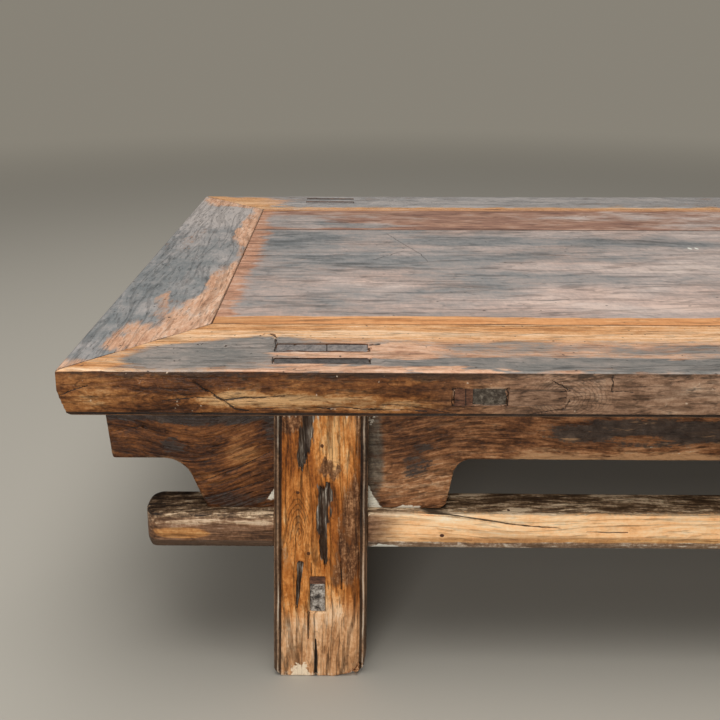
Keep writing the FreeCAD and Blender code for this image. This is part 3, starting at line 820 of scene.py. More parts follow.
def frame_finish():
    """Grey lacquer rubbed down to straw on the top, with a painted sheen on its far rails; amber wood with
    cracks on the edge, with painted shade at its foot and along its top.
    """
    s = Shader("frame_finish")
    across_x = s.minus(half_length, s.size(s.x))
    across_y = s.minus(half_depth, s.size(s.y))
    from_panel = s.minus(frame_width, s.least(across_x, across_y))
    on_end = s.smooth(s.minus(across_y, across_x), -0.001, 0.001)
    on_back = s.smooth(s.y, 0.1, 0.2)
    from_mitre = s.size(s.minus(across_x, across_y))
    broad = s.streaks(3, 16)
    patch = s.streaks(20, 56, 4, 0.66)
    fine = s.streaks(64, 240, 3, 0.7)
    grit = s.noise(s.place, 330, 3, 0.7)
    cloud = s.noise(s.vector("MULTIPLY", s.place, (22, 30, 50)), 1, 3, 0.6)
    hair = s.lines(5, 60, 0.034, 2)
    squiggles = s.lines(24, 120, 0.03, 2)
    pores = s.pores(52, 330, 0.6)
    rag_x, rag_y, rag_z = s.ragged((0.05, 0.05, 0.01), 14, 60)

    base = s.add(s.times(on_end, 0.62), s.times(on_back, 0.45))
    from_strip = s.add(from_panel, s.times(on_back, 0.018))
    kept = s.add(
        base, s.swing((broad, 1), (cloud, 0.9), (patch, 1.1), (fine, 0.8), (grit, 0.3)),
        s.times(s.smooth(from_strip, 0.046, 0.02, 0, -1), s.minus(1, on_end)),
        s.times(s.smooth(from_panel, 0.014, 0.004, 0, -0.55), on_end),
        s.smooth(from_mitre, 0.046, 0.01, 0, -0.95),
        s.spots(rag_x, rag_y, frame_spots),
    )
    lacquer = s.smooth(kept, -0.32, 0.4)
    straw = s.ramp(s.tone((s.streaks(2.4, 130, 4, 0.68), 1.4), (fine, 0.5), (grit, 0.3)), [
        (0.2, (0.38, 0.145, 0.046)), (0.42, (0.64, 0.315, 0.13)),
        (0.58, (0.77, 0.45, 0.235)), (0.8, (0.89, 0.63, 0.41))])
    peach = s.ramp(s.tone((patch, 0.7), (fine, 0.9), (grit, 0.4)), [
        (0.2, (0.38, 0.19, 0.115)), (0.42, (0.6, 0.335, 0.205)),
        (0.6, (0.72, 0.45, 0.3)), (0.8, (0.84, 0.62, 0.47))])
    outer = s.times(s.smooth(from_panel, 0.032, 0.056), s.smooth(s.size(s.x), 0.62, 0.55))
    bare = s.mix(s.math("MAXIMUM", on_end, outer), straw, peach)
    # Painted reflection: the film is lighter towards the far parts of the top, for the sky's sheen in the
    # lacquer
    far_sheen = s.add(s.times(on_end, s.smooth(s.y, -0.15, 0.25, 0, 0.2)), s.times(on_back, 0.14))
    near_arris = s.spots(s.x, s.y, [(-0.2, -0.357, 0.26, 0.016, -0.1)])
    film_tone = s.tone((broad, 0.5), (cloud, 0.5), (patch, 0.5), (fine, 0.4), (grit, 0.25))
    film = s.ramp(s.add(film_tone, far_sheen, near_arris), [
        (0.2, (0.12, 0.128, 0.128)), (0.38, (0.19, 0.192, 0.186)), (0.5, (0.255, 0.244, 0.23)),
        (0.62, (0.35, 0.312, 0.286)), (0.8, (0.5, 0.425, 0.375))])
    # Painted reflection: the end and back rails get a cooler grey film, for the sky's sheen in the lacquer;
    # the front rail gets a warmer one
    sky_sheen_share = s.math("MAXIMUM", on_end, on_back)
    sky_sheen_film = s.vector("MULTIPLY", film, (0.99, 1.03, 1.06))
    film = s.mix(sky_sheen_share, s.vector("MULTIPLY", film, (0.96, 0.9, 0.85)), sky_sheen_film)
    top = s.mix(lacquer, bare, film)
    top = s.darken(top, (hair, 0.24), (squiggles, 0.13), (pores, 0.24))
    top = s.mix(s.times(s.pits(190, 0.7), 0.8), top, (0.035, 0.028, 0.024))
    dirt = s.add(s.smooth(s.size(from_panel), 0.0022, 0.0006, 0, 0.45),
                 s.smooth(from_mitre, 0.0024, 0.0006, 0, 0.55), s.around(patch, 1.2))
    top = s.mix(s.smooth(dirt, 0.25, 0.75, 0, 0.85), top, (0.04, 0.026, 0.018))
    wobble_x, wobble_y, _ = s.ragged((0.004, 0.004, 0.0028), 70, 150)
    top_cracks = s.strokes(wobble_x, wobble_y, thin_routes("top_rail_front", TOP))
    top = s.mix(s.times(top_cracks, 0.92), top, crack_color)

    amber = s.spots(rag_x, rag_z, edge_amber)
    tone = s.add(s.tone((broad, 0.4), (cloud, 0.6), (patch, 0.5), (fine, 0.6), (grit, 0.35)), amber)
    side = s.ramp(tone, [
        (0.2, (0.014, 0.005, 0.002)), (0.38, (0.068, 0.022, 0.006)), (0.52, (0.16, 0.055, 0.014)),
        (0.66, (0.34, 0.138, 0.04)), (0.84, (0.6, 0.345, 0.155))])
    dull = s.ramp(tone, [
        (0.18, (0.05, 0.028, 0.018)), (0.36, (0.18, 0.098, 0.057)), (0.5, (0.31, 0.178, 0.108)),
        (0.66, (0.44, 0.28, 0.182)), (0.82, (0.58, 0.42, 0.295))])
    side = s.mix(s.smooth(rag_x, -0.42, -0.27), side, dull)
    wave_x, _, wave_z = s.ragged((0.014, 0, 0.01), 30, 50)
    knots = s.add(s.rings(wave_x, wave_z, (-0.617, 0.2755), 2.2, 0.0017, 0.017),
                  s.rings(wave_x, wave_z, (-0.287, 0.2755), 1.2, 0.0012, 0.036))
    side = s.darken(side, (knots, 0.4), (hair, 0.28), (squiggles, 0.38), (pores, 0.4))
    # Painted shade: a black line along the groove at the foot of the edge, above the apron and legs
    from_seam = s.size(s.minus(s.z, under_z + 0.0036))
    seam_shade = s.add(s.smooth(from_seam, 0.0024, 0.0008, 0, 0.9), s.around(patch, 0.8))
    lip = s.times(s.smooth(s.z, under_z + 0.0024, under_z + 0.0012), s.smooth(patch, 0.35, 0.6))
    # Black smears, and painted shade as a dark band along the top of the edge where its arris is rounded
    smear_and_arris_shade = s.add(s.smooth(s.z, top_z - 0.011, top_z - 0.001, 0, 0.42),
                  s.swing((patch, 1.5), (fine, 1), (broad, 1)))
    side = s.mix(s.smooth(smear_and_arris_shade, 0.3, 0.56, 0, 0.82), side, smear_and_shade_black)
    side = s.mix(s.smooth(seam_shade, 0.35, 0.65, 0, 0.88), side, smear_and_shade_black)
    side = s.mix(s.times(lip, 0.75), side, (0.36, 0.19, 0.095))
    rubbed = s.times(s.smooth(s.arris, 0.5, 0.95), s.smooth(s.streaks(30, 120), 0.52, 0.62))
    side = s.mix(s.times(rubbed, 0.8), side, (0.58, 0.42, 0.29))
    side = s.mix(s.times(s.pits(170, 0.735), 0.8), side, (0.66, 0.5, 0.36))
    side = s.front_cracks(side, "top_rail_front", (0.0085, 0, 0.0045), 70, 150, 0.92)
    side = s.mix(s.smooth(from_panel, 0.006, 0.002), side, s.shade(peach, 0.75))
    color = s.mix(s.smooth(s.facing_z, 0.6, 0.85), side, top)
    color = s.mix(s.smooth(s.facing_z, -0.6, -0.9), color, raw_under)
    rough = s.smooth(lacquer, 0, 1, 0.6, 0.42)
    height = s.add(s.relief(fine, grit, hair, pores), s.times(lacquer, 0.3))
    return s.finish(color, rough, height, 0.0013)


# Darker and lighter places on the panel: middle, reach, weight
panel_spots = [
    (-0.523, 0.062, 0.06, 0.06, 0.16),
    (-0.458, -0.038, 0.08, 0.04, 0.12),
    (-0.287, 0.06, 0.11, 0.03, 0.16),
    (-0.221, -0.02, 0.12, 0.025, 0.13),
    (-0.09, 0.05, 0.12, 0.025, 0.16),
    (-0.33, -0.145, 0.06, 0.03, 0.1),
    (-0.184, -0.188, 0.12, 0.05, -0.16),
    (-0.13, -0.073, 0.14, 0.03, -0.14),
    (-0.348, -0.2, 0.1, 0.03, -0.1),
    (-0.42, -0.12, 0.09, 0.04, -0.12),
]


def panel_finish():
    """Grey boards with reddish wood at the ends and back, and an orange strip in front."""
    s = Shader("panel_finish")
    from_end = s.minus(inner_x, s.size(s.x))
    from_front = s.add(s.y, inner_y)
    from_back = s.minus(inner_y, s.y)
    broad = s.streaks(2.4, 12)
    patch = s.streaks(12, 32, 4, 0.68)
    fine = s.streaks(34, 110, 3, 0.72)
    grit = s.noise(s.vector("MULTIPLY", s.place, (200, 90, 90)), 1, 3, 0.72)
    cloud = s.noise(s.vector("MULTIPLY", s.place, (11, 16, 16)), 1, 4, 0.62)
    blush = s.noise(s.vector("MULTIPLY", s.place, (7, 14, 14)), 1, 4, 0.66)
    hair = s.lines(2.6, 30, 0.03, 2)
    squiggles = s.lines(14, 50, 0.026, 2)
    pores = s.pores(18, 90, 0.62)
    rag_x, rag_y, _ = s.ragged((0.12, 0.035, 0), 8, 36)
    tone = s.add(s.tone((broad, 0.35), (cloud, 0.6), (patch, 0.55), (fine, 0.62), (grit, 0.4)),
                 s.times(s.spots(rag_x, rag_y, panel_spots), -1.35), s.smooth(s.x, -0.4, 0, -0.02, 0.1))
    grey = s.ramp(tone, [
        (0.14, (0.171, 0.174, 0.172)), (0.34, (0.272, 0.262, 0.252)), (0.5, (0.366, 0.316, 0.288)),
        (0.66, (0.485, 0.395, 0.35)), (0.86, (0.65, 0.53, 0.46))])
    pinker = s.add(blush, s.smooth(s.y, -0.08, -0.2, 0, 0.12))
    pink = s.vector("MULTIPLY", grey, (1.22, 0.98, 0.86))
    grey = s.mix(s.smooth(pinker, 0.44, 0.72, 0, 0.45), grey, pink)
    red = s.ramp(s.tone((broad, 0.5), (patch, 0.9), (fine, 0.6)), [
        (0.2, (0.18, 0.1, 0.078)), (0.45, (0.345, 0.185, 0.128)), (0.62, (0.49, 0.28, 0.185)),
        (0.82, (0.62, 0.44, 0.34))])
    ember = s.ramp(s.tone((patch, 0.8), (fine, 0.8), (grit, 0.4)), [
        (0.2, (0.32, 0.14, 0.08)), (0.5, (0.54, 0.27, 0.16)), (0.8, (0.7, 0.47, 0.34))])
    end_edge = s.add(from_end, s.swing((patch, 0.055), (fine, 0.03), (broad, 0.03)))
    bare_end = s.smooth(end_edge, 0.026, 0.012)
    on_back = s.smooth(s.minus(s.y, board_joint_y), -0.001, 0.001)
    cover = s.add(s.swing((broad, 1.7), (patch, 1.1), (fine, 0.8)), s.spots(rag_x, rag_y, [
        (-0.53, 0.16, 0.06, 0.03, 0.8), (-0.44, 0.148, 0.09, 0.014, 0.6)]))
    bare_back = s.times(on_back, s.smooth(cover, 0.42, -0.1))
    top = s.mix(bare_back, grey, red)
    top = s.mix(s.times(bare_end, 0.9), top, ember)
    strip_edge = s.add(from_front, s.around(s.noise(s.place, 7, 4), 0.014), s.around(fine, 0.004))
    strip = s.smooth(strip_edge, 0.0225, 0.0195)
    orange = s.ramp(s.tone((s.streaks(1.8, 110, 3, 0.65), 1), (fine, 0.5), (grit, 0.3)), [
        (0.2, (0.46, 0.18, 0.062)), (0.5, (0.72, 0.34, 0.14)), (0.8, (0.86, 0.52, 0.27))])
    top = s.mix(strip, top, orange)
    top = s.mix(s.smooth(s.add(from_back, s.around(patch, 0.01)), 0.014, 0.006, 0, 0.8), top, orange)
    top = s.darken(top, (hair, 0.24), (squiggles, 0.2), (pores, 0.28))
    top = s.mix(s.times(s.pits(120, 0.735), 0.7), top, (0.05, 0.042, 0.038))
    joint = s.size(s.minus(s.y, board_joint_y))
    dirt = s.add(s.smooth(joint, 0.0034, 0.0008, 0, 0.65), s.smooth(from_front, 0.0034, 0.0008, 0, 0.6),
                 s.around(patch, 0.9))
    top = s.mix(s.smooth(dirt, 0.25, 0.6, 0, 0.85), top, (0.045, 0.03, 0.022))
    wobble_x, wobble_y, _ = s.ragged((0.006, 0.006, 0), 40, 60)
    scratches = s.strokes(wobble_x, wobble_y, scratch_routes)
    top = s.mix(s.times(scratches, 0.85), top, (0.06, 0.048, 0.042))
    speck = [(-0.0218, 0.0222, 0.0026, 0.005, 1), (-0.0131, 0.0223, 0.0022, 0.005, 1)]
    top = s.daub(top, s.x, s.y, speck, (0.8, 0.78, 0.68))
    color = s.mix(s.smooth(s.facing_z, 0.2, 0.6), raw_under, top)
    rough = s.smooth(s.math("MAXIMUM", bare_end, strip), 0, 1, 0.44, 0.58)
    height = s.relief(fine, grit, hair, pores, -0.3)
    return s.finish(color, rough, height, 0.0013)


# Lighter and darker places on the left front leg, and where it is sooty: middle, reach, weight
leg_tones = [
    (-0.473, 0.232, 0.019, 0.03, 0.2),
    (-0.48, 0.215, 0.02, 0.02, 0.08),
    (-0.507, 0.15, 0.014, 0.045, 0.06),
    (-0.48, 0.078, 0.024, 0.018, 0.12),
    (-0.507, 0.218, 0.012, 0.03, -0.1),
    (-0.5, 0.05, 0.016, 0.03, 0.06),
]
leg_soot = [
    (-0.457, 0.178, 0.01, 0.028, 0.62),
    (-0.461, 0.148, 0.013, 0.03, 0.62),
    (-0.466, 0.114, 0.016, 0.024, 0.64),
    (-0.514, 0.247, 0.011, 0.013, 0.95),
    (-0.452, 0.238, 0.007, 0.035, 0.7),
    (-0.478, 0.2065, 0.011, 0.007, 0.95),
    (-0.516, 0.122, 0.008, 0.016, 0.45),
    (-0.476, 0.232, 0.018, 0.026, -0.5),
    (-0.508, 0.165, 0.013, 0.04, -0.45),
    (-0.478, 0.075, 0.02, 0.016, -0.4),
]


def leg_finish():
    """Orange wood with sooty patches, beads on the edges and grey heads that show on the top; painted shade
    under the frame and on the sunken part of the head, and a painted highlight along each bead.
    """
    s = Shader("leg_finish")
    broad = s.streaks(7, 28)
    patch = s.streaks(24, 70, 4, 0.66)
    fine = s.streaks(50, 320, 3, 0.7)
    grit = s.noise(s.place, 330, 3, 0.7)
    hair = s.lines(7, 95, 0.04, 2)
    squiggles = s.lines(30, 150, 0.03, 2)
    pores = s.pores(40, 420, 0.6)
    rag_x, _, rag_z = s.ragged((0.014, 0, 0.04), 24, 110)
    wave_x, _, wave_z = s.ragged((0.008, 0, 0.012), 26, 60)
    tone = s.add(s.tone((broad, 0.8), (patch, 0.8), (fine, 0.8), (grit, 0.4)),
                 s.spots(rag_x, rag_z, leg_tones))
    wood = s.ramp(tone, [
        (0.18, (0.11, 0.028, 0.004)), (0.36, (0.285, 0.083, 0.012)), (0.5, (0.415, 0.134, 0.022)),
        (0.66, (0.63, 0.247, 0.06)), (0.84, (0.82, 0.45, 0.18))])
    tan = s.ramp(tone, [
        (0.18, (0.19, 0.08, 0.028)), (0.36, (0.39, 0.178, 0.07)), (0.5, (0.54, 0.27, 0.118)),
        (0.66, (0.71, 0.405, 0.205)), (0.84, (0.84, 0.58, 0.37))])
    low_share = s.add(s.smooth(s.z, 0.1, 0.02), s.around(broad, 1),
                      s.smooth(rag_x, -0.5, -0.46, -0.1, 0.25))
    wood = s.mix(s.smooth(low_share, 0.2, 0.8), wood, tan)
    arches = s.rings(wave_x, wave_z, (-0.5065, 0.138), 0.3, 0.0028, 0.062)
    figure = s.spots(s.x, s.z, [(-0.5065, 0.162, 0.013, 0.034, 1)])
    arches = s.times(arches, s.smooth(figure, 0.2, 0.8))
    knot = s.rings(wave_x, wave_z, (-0.478, 0.2065), 1.5, 0.0016, 0.012)
    wood = s.darken(wood, (arches, 0.6), (knot, 0.35))
    wood = s.darken(wood, (hair, 0.45), (squiggles, 0.3), (pores, 0.38))
    # Sooty patches, and painted shadow of the frame as a darker band at the top of the leg; the same mask
    # sets the roughness
    soot_and_shadow = s.add(s.swing((s.streaks(14, 60, 4, 0.7), 1.4), (patch, 0.8), (fine, 1), (grit, 0.8)),
                 s.smooth(s.z, under_z - 0.016, under_z - 0.002, 0, 0.3),
                 s.spots(rag_x, rag_z, leg_soot))
    burnt_and_shadow_color = s.ramp(s.tone((patch, 0.9), (fine, 1.1), (grit, 1)), [
        (0.25, (0.014, 0.007, 0.004)), (0.52, (0.112, 0.047, 0.019)), (0.8, (0.42, 0.215, 0.102))])
    color = s.mix(s.smooth(soot_and_shadow, 0.24, 0.7, 0, 0.86), wood, burnt_and_shadow_color)
    knots = [(-0.5063, 0.1835, 0.0016, 0.0016, 1), (-0.4975, 0.125, 0.0018, 0.002, 1),
             (-0.4855, 0.227, 0.0016, 0.002, 1)]
    color = s.daub(color, s.x, s.z, knots, (0.055, 0.016, 0.006), 0.9)

    middle = s.add(leg_foot[0], s.times(s.z, (leg_head[0] - leg_foot[0]) / under_z))
    half = s.add(leg_foot[1], s.times(s.z, (leg_head[1] - leg_foot[1]) / under_z))
    from_edge = s.minus(half, s.size(s.minus(s.size(s.x), middle)))
    bead = s.smooth(from_edge, bead_inset + 0.0006, bead_inset - 0.0002)
    worn_edge = s.add(from_edge, s.around(s.streaks(18, 60, 3, 0.65), 0.0022))
    # The bead's colour across its width: dark lines at its quirks, and a painted highlight as a pale line
    # along its middle
    bead_tone_and_highlight = s.ramp(s.times(worn_edge, 1 / bead_inset), [
        (0, (0.24, 0.14, 0.08)), (0.14, (0.085, 0.048, 0.027)), (0.26, (0.018, 0.012, 0.008)),
        (0.38, (0.07, 0.042, 0.024)), (0.55, (0.3, 0.185, 0.11)), (0.66, (0.12, 0.068, 0.037)),
        (0.78, (0.018, 0.012, 0.008)), (1, (0.014, 0.009, 0.006))])
    bead_tone_and_highlight = s.shade(bead_tone_and_highlight, s.smooth(s.add(patch, s.around(grit, 0.6)), 0.25, 0.75, 0.35, 1.75))
    worn_line = s.smooth(s.size(s.minus(worn_edge, 0.55 * bead_inset)), 0.0008, 0.0002)
    flecks = s.times(worn_line, s.smooth(s.streaks(14, 120, 3), 0.42, 0.64))
    bead_tone_and_highlight = s.mix(s.times(flecks, 0.8), bead_tone_and_highlight, pale_dust)
    color = s.mix(s.times(bead, 0.92), color, bead_tone_and_highlight)
    scuff = s.add(s.smooth(s.z, 0.012, 0.001, 0, 0.35), s.around(s.noise(s.place, 90, 4, 0.7), 1.5),
                  s.around(fine, 0.6))
    color = s.mix(s.smooth(scuff, 0.36, 0.56, 0, 0.85), color, (0.74, 0.58, 0.42))
    splash = s.add(s.spots(rag_x, s.z, [(-0.505, -0.003, 0.01, 0.02, 0.9)]),
                   s.swing((patch, 1.4), (grit, 1.2)))
    color = s.mix(s.smooth(splash, 0.42, 0.58, 0, 0.92), color, (0.86, 0.7, 0.5))
    dust = s.add(s.smooth(s.z, under_z - 0.01, under_z - 0.001, 0, 0.45),
                 s.swing((fine, 1.5), (patch, 1.2)))
    color = s.mix(s.smooth(dust, 0.45, 0.65, 0, 0.6), color, pale_dust)
    color = s.front_cracks(color, "leg_front_left", (0.0022, 0, 0.004), 60, 140, 0.9)
    flush = s.ramp(s.tone((s.noise(s.place, 150, 4, 0.7), 1.4)), [
        (0.25, (0.13, 0.122, 0.118)), (0.75, (0.33, 0.28, 0.25))])
    flush = s.mix(s.strokes(s.x, s.y, thin_routes("leg_front_left", TOP)), flush, crack_color)
    # Painted shade: the sunken part of the head is a darker copy of the flush head's colour
    sunk = s.shade(flush, 0.45)
    head = s.mix(s.smooth(s.size(s.y), 0.333, 0.339), flush, sunk)
    color = s.mix(s.smooth(s.z, under_z + 0.008, under_z + 0.012), color, head)
    height = s.relief(fine, grit, hair, pores)
    return s.finish(color, s.smooth(soot_and_shadow, 0.1, 0.6, 0.46, 0.62), height, 0.0013)


# Stained places on the front apron, and lighter ones: middle, reach, weight
apron_stain = [
    (-0.215, 0.234, 0.09, 0.014, 0.85),
    (-0.11, 0.236, 0.09, 0.012, 0.7),
    (-0.215, 0.228, 0.035, 0.005, -0.5),
    (-0.6, 0.249, 0.11, 0.009, 0.85),
    (-0.612, 0.22, 0.013, 0.01, 0.55),
    (-0.562, 0.168, 0.034, 0.009, 0.55),
    (-0.527, 0.238, 0.009, 0.02, 0.5),
    (-0.405, 0.205, 0.014, 0.018, 0.46),
    (-0.38, 0.22, 0.05, 0.004, 0.35),
]
apron_amber = [
    (-0.647, 0.231, 0.018, 0.006, 0.14),
    (-0.553, 0.22, 0.014, 0.022, 0.2),
    (-0.597, 0.228, 0.03, 0.009, 0.05),
    (-0.4, 0.178, 0.04, 0.014, 0.12),
    (-0.56, 0.192, 0.034, 0.02, 0.07),
    (-0.3, 0.213, 0.09, 0.006, 0.14),
]


def apron_finish():
    """Dark wood with tarry stains, a painted shadow under the frame, grime beside the leg and filled
    corners.
    """
    s = Shader("apron_finish")
    broad = s.streaks(5, 22)
    patch = s.streaks(24, 60, 4, 0.68)
    fine = s.streaks(46, 330, 3, 0.72)
    grit = s.noise(s.place, 360, 3, 0.72)
    cloud = s.noise(s.vector("MULTIPLY", s.place, (26, 26, 44)), 1, 3, 0.6)
    hair = s.lines(9, 80, 0.036, 2)
    squiggles = s.lines(36, 120, 0.034, 2)
    pores = s.pores(60, 330, 0.59)
    rag_x, _, rag_z = s.ragged((0.04, 0, 0.012), 22, 90)
    tone = s.add(s.tone((broad, 0.4), (cloud, 0.6), (patch, 0.4), (fine, 0.9), (grit, 0.4)),
                 s.spots(rag_x, rag_z, apron_amber))
    dark = s.ramp(tone, [
        (0.18, (0.01, 0.004, 0.002)), (0.36, (0.042, 0.013, 0.004)), (0.5, (0.098, 0.032, 0.008)),
        (0.66, (0.205, 0.07, 0.017)), (0.84, (0.35, 0.15, 0.048))])
    light = s.ramp(tone, [
        (0.18, (0.022, 0.008, 0.003)), (0.36, (0.088, 0.031, 0.01)), (0.5, (0.185, 0.071, 0.025)),
        (0.66, (0.345, 0.155, 0.064)), (0.84, (0.56, 0.33, 0.18))])
    wood = s.mix(s.smooth(s.size(rag_x), 0.5, 0.44), dark, light)
    wood = s.darken(wood, (hair, 0.34), (squiggles, 0.34), (pores, 0.36))
    # Tarry stains, and painted shadow of the frame as a dark band along the top of the apron; the same mask
    # sets the roughness
    stain_and_shadow = s.add(s.spots(rag_x, rag_z, apron_stain), s.swing((patch, 1.3), (fine, 1.2), (grit, 0.7)),
                  s.smooth(s.z, under_z - 0.01, under_z - 0.002, 0, 0.35))
    tar_and_shadow_color = s.ramp(s.tone((s.noise(s.place, 120, 4, 0.7), 1.2)), [
        (0.25, (0.016, 0.01, 0.008)), (0.6, (0.048, 0.034, 0.026)), (0.9, (0.13, 0.088, 0.062))])
    color = s.mix(s.smooth(stain_and_shadow, 0.34, 0.62, 0, 0.94), wood, tar_and_shadow_color)
    low = s.add(s.smooth(s.z, apron_edge_z + 0.011, apron_edge_z + 0.002, 0, 0.45),
                s.swing((patch, 1), (fine, 1)), s.smooth(s.size(rag_x), 0.3, 0.36, 0.3, 0))
    low_share = s.times(s.smooth(low, 0.4, 0.7, 0, 0.75), s.smooth(s.size(s.x), 0.38, 0.35))
    color = s.mix(low_share, color, (0.42, 0.23, 0.11))
    grime = s.add(s.spots(s.x, s.z, [(-0.443, 0.208, 0.012, 0.06, 0.9)]),
                  s.swing((patch, 1), (fine, 0.7), (grit, 0.7)))
    grime_color = s.ramp(s.tone((patch, 0.8), (fine, 0.8), (grit, 0.8)), [
        (0.3, (0.04, 0.03, 0.02)), (0.55, (0.095, 0.078, 0.056)), (0.8, (0.21, 0.17, 0.12))])
    color = s.mix(s.smooth(grime, 0.3, 0.95, 0, 0.88), color, grime_color)
    dusty = s.add(s.spots(rag_x, s.z, [(-0.444, 0.248, 0.007, 0.012, 0.6)]),
                  s.swing((fine, 1.6), (grit, 1.6)))
    color = s.mix(s.smooth(dusty, 0.5, 0.7, 0, 0.75), color, pale_dust)
    color = s.front_cracks(color, "apron_front", (0.005, 0, 0.003), 50, 120, 0.85)
    fray_x = s.add(s.x, s.around(s.noise(s.place, 160, 3), 0.006))
    fray_z = s.add(s.z, s.around(s.noise(s.place, 110, 3), 0.01))
    filled = s.math("MAXIMUM", s.corner(fray_x, fray_z, (-0.448, 0.16), (0.015, 0.028)),
                    s.corner(fray_x, fray_z, (-0.525, 0.169), (-0.009, 0.014)))
    color = s.mix(s.times(filled, 0.92), color, putty_color)
    color = s.daub(color, fray_x, fray_z, [(-0.412, 0.1612, 0.013, 0.0022, 1)], putty_color, 0.8)
    rubbed = s.times(s.smooth(s.arris, 0.4, 0.95), s.smooth(s.streaks(30, 120), 0.52, 0.62))
    color = s.mix(s.times(rubbed, 0.4), color, (0.42, 0.25, 0.13))
    height = s.relief(fine, grit, hair, pores)
    return s.finish(color, s.smooth(stain_and_shadow, 0.2, 0.8, 0.52, 0.42), height, 0.0014)


def rail_finish():
    """Blond wood with a weathered upper facet and a dark hem."""
    s = Shader("rail_finish")
    broad = s.streaks(3, 26)
    patch = s.streaks(18, 60, 4, 0.66)
    fine = s.streaks(36, 330, 3, 0.7)
    grit = s.noise(s.place, 330, 3, 0.7)
    hair = s.lines(4, 90, 0.036, 2)
    squiggles = s.lines(22, 130, 0.03, 2)
    pores = s.pores(44, 400, 0.61)
    rag_x, _, rag_z = s.ragged((0.04, 0, 0.006), 18, 100)
    tone = s.tone((broad, 0.6), (patch, 0.7), (fine, 0.8), (grit, 0.4))
    blond = s.ramp(tone, [
        (0.14, (0.66, 0.31, 0.11)), (0.34, (0.92, 0.5, 0.225)), (0.5, (0.97, 0.61, 0.32)),
        (0.7, (0.97, 0.73, 0.46)), (0.88, (0.97, 0.83, 0.64))])
    # Painted light: the dull wood of the rail's ends is lighter towards the top of the rail and darker
    # towards its bottom
    dull = s.ramp(s.add(tone, s.smooth(s.z, 0.14, 0.158, -0.07, 0.06)), [
        (0.2, (0.05, 0.022, 0.01)), (0.38, (0.14, 0.064, 0.029)), (0.52, (0.26, 0.134, 0.07)),
        (0.66, (0.42, 0.255, 0.158)), (0.82, (0.66, 0.5, 0.39))])
    amber_stops = [(0.25, (0.22, 0.085, 0.022)), (0.5, (0.5, 0.215, 0.062)), (0.8, (0.72, 0.42, 0.16))]
    wood = s.mix(s.smooth(s.size(rag_x), 0.405, 0.448), blond, dull)
    wood = s.daub(wood, rag_x, rag_z, [(-0.606, 0.1415, 0.028, 0.0055, 1)], s.ramp(tone, amber_stops), 0.85)
    low = s.add(s.smooth(s.z, long_rail_low.z + 0.017, long_rail_low.z + 0.01, 0, 0.8),
                s.swing((patch, 0.7), (fine, 0.8)))
    low_share = s.times(s.smooth(low, 0.25, 0.8, 0, 0.9), s.smooth(s.size(rag_x), 0.44, 0.38))
    low_wood = s.ramp(tone, [
        (0.25, (0.22, 0.085, 0.024)), (0.5, (0.55, 0.265, 0.085)), (0.8, (0.86, 0.54, 0.22))])
    wood = s.mix(low_share, wood, low_wood)
    wood = s.darken(wood, (hair, 0.2), (squiggles, 0.1), (pores, 0.24))
    hem = s.add(s.smooth(s.z, long_rail_low.z + 0.011, long_rail_low.z + 0.006, 0, 0.85),
                s.swing((patch, 0.9), (fine, 0.9)))
    hem_color = s.ramp(s.tone((fine, 1.2), (grit, 0.8)), [
        (0.3, (0.06, 0.042, 0.03)), (0.55, (0.19, 0.13, 0.09)), (0.8, (0.6, 0.54, 0.45))])
    hem_color = s.mix(s.smooth(s.size(s.x), 0.44, 0.47), hem_color, (0.055, 0.032, 0.019))
    wood = s.mix(s.smooth(hem, 0.35, 0.65, 0, 0.85), wood, hem_color)
    facet_z = s.smooth(s.x, -0.46, -0.44, 0.15, 0.1612)
    set_back = s.least(s.times(s.minus(-long_rail_low.y, s.size(s.y)), 0.35), 0.013)
    lift = s.add(s.minus(s.z, facet_z), set_back, s.swing((patch, 0.005), (fine, 0.008), (grit, 0.004)))
    upper = s.times(s.smooth(lift, -0.001, 0.0012), s.smooth(s.facing_z, -0.1, 0.1))
    weathered = s.ramp(s.tone((broad, 0.5), (patch, 0.8), (fine, 1.2), (grit, 0.4)), [
        (0.26, (0.014, 0.008, 0.005)), (0.42, (0.075, 0.042, 0.022)), (0.54, (0.29, 0.18, 0.098)),
        (0.68, (0.83, 0.62, 0.4))])
    color = s.mix(s.times(upper, 0.95), wood, weathered)
    fray_x = s.add(s.x, s.around(s.noise(s.place, 120, 3), 0.012))
    fray_z = s.add(s.z, s.around(s.noise(s.place, 150, 3), 0.006))
    color = s.daub(color, fray_x, fray_z, [(-0.432, 0.129, 0.014, 0.0028, 1)], (0.62, 0.6, 0.52), 0.85)
    hole_color = (0.08, 0.028, 0.014)
    color = s.daub(color, s.x, s.z, [(-0.382, 0.1405, 0.0022, 0.0018, 1)], hole_color)
    color = s.daub(color, s.x, s.y, [(-0.324, -0.3455, 0.0014, 0.0018, 1)], hole_color)
    color = s.front_cracks(color, "long_rail_front", (0.005, 0, 0.0018), 50, 120, 0.9)
    end_grain = s.ramp(s.tone((s.noise(s.place, 240, 4, 0.74), 1.9)), [
        (0.25, (0.03, 0.024, 0.02)), (0.45, (0.2, 0.165, 0.135)), (0.75, (0.48, 0.43, 0.37))])
    below = s.smooth(s.z, long_rail_low.z - 0.006, long_rail_low.z - 0.01)
    outer = s.smooth(s.size(s.y), half_depth - 0.03, half_depth - 0.026)
    color = s.mix(s.times(below, outer), color, end_grain)
    height = s.relief(fine, grit, hair, pores)
    return s.finish(color, s.smooth(upper, 0, 1, 0.54, 0.5), height, 0.0013)


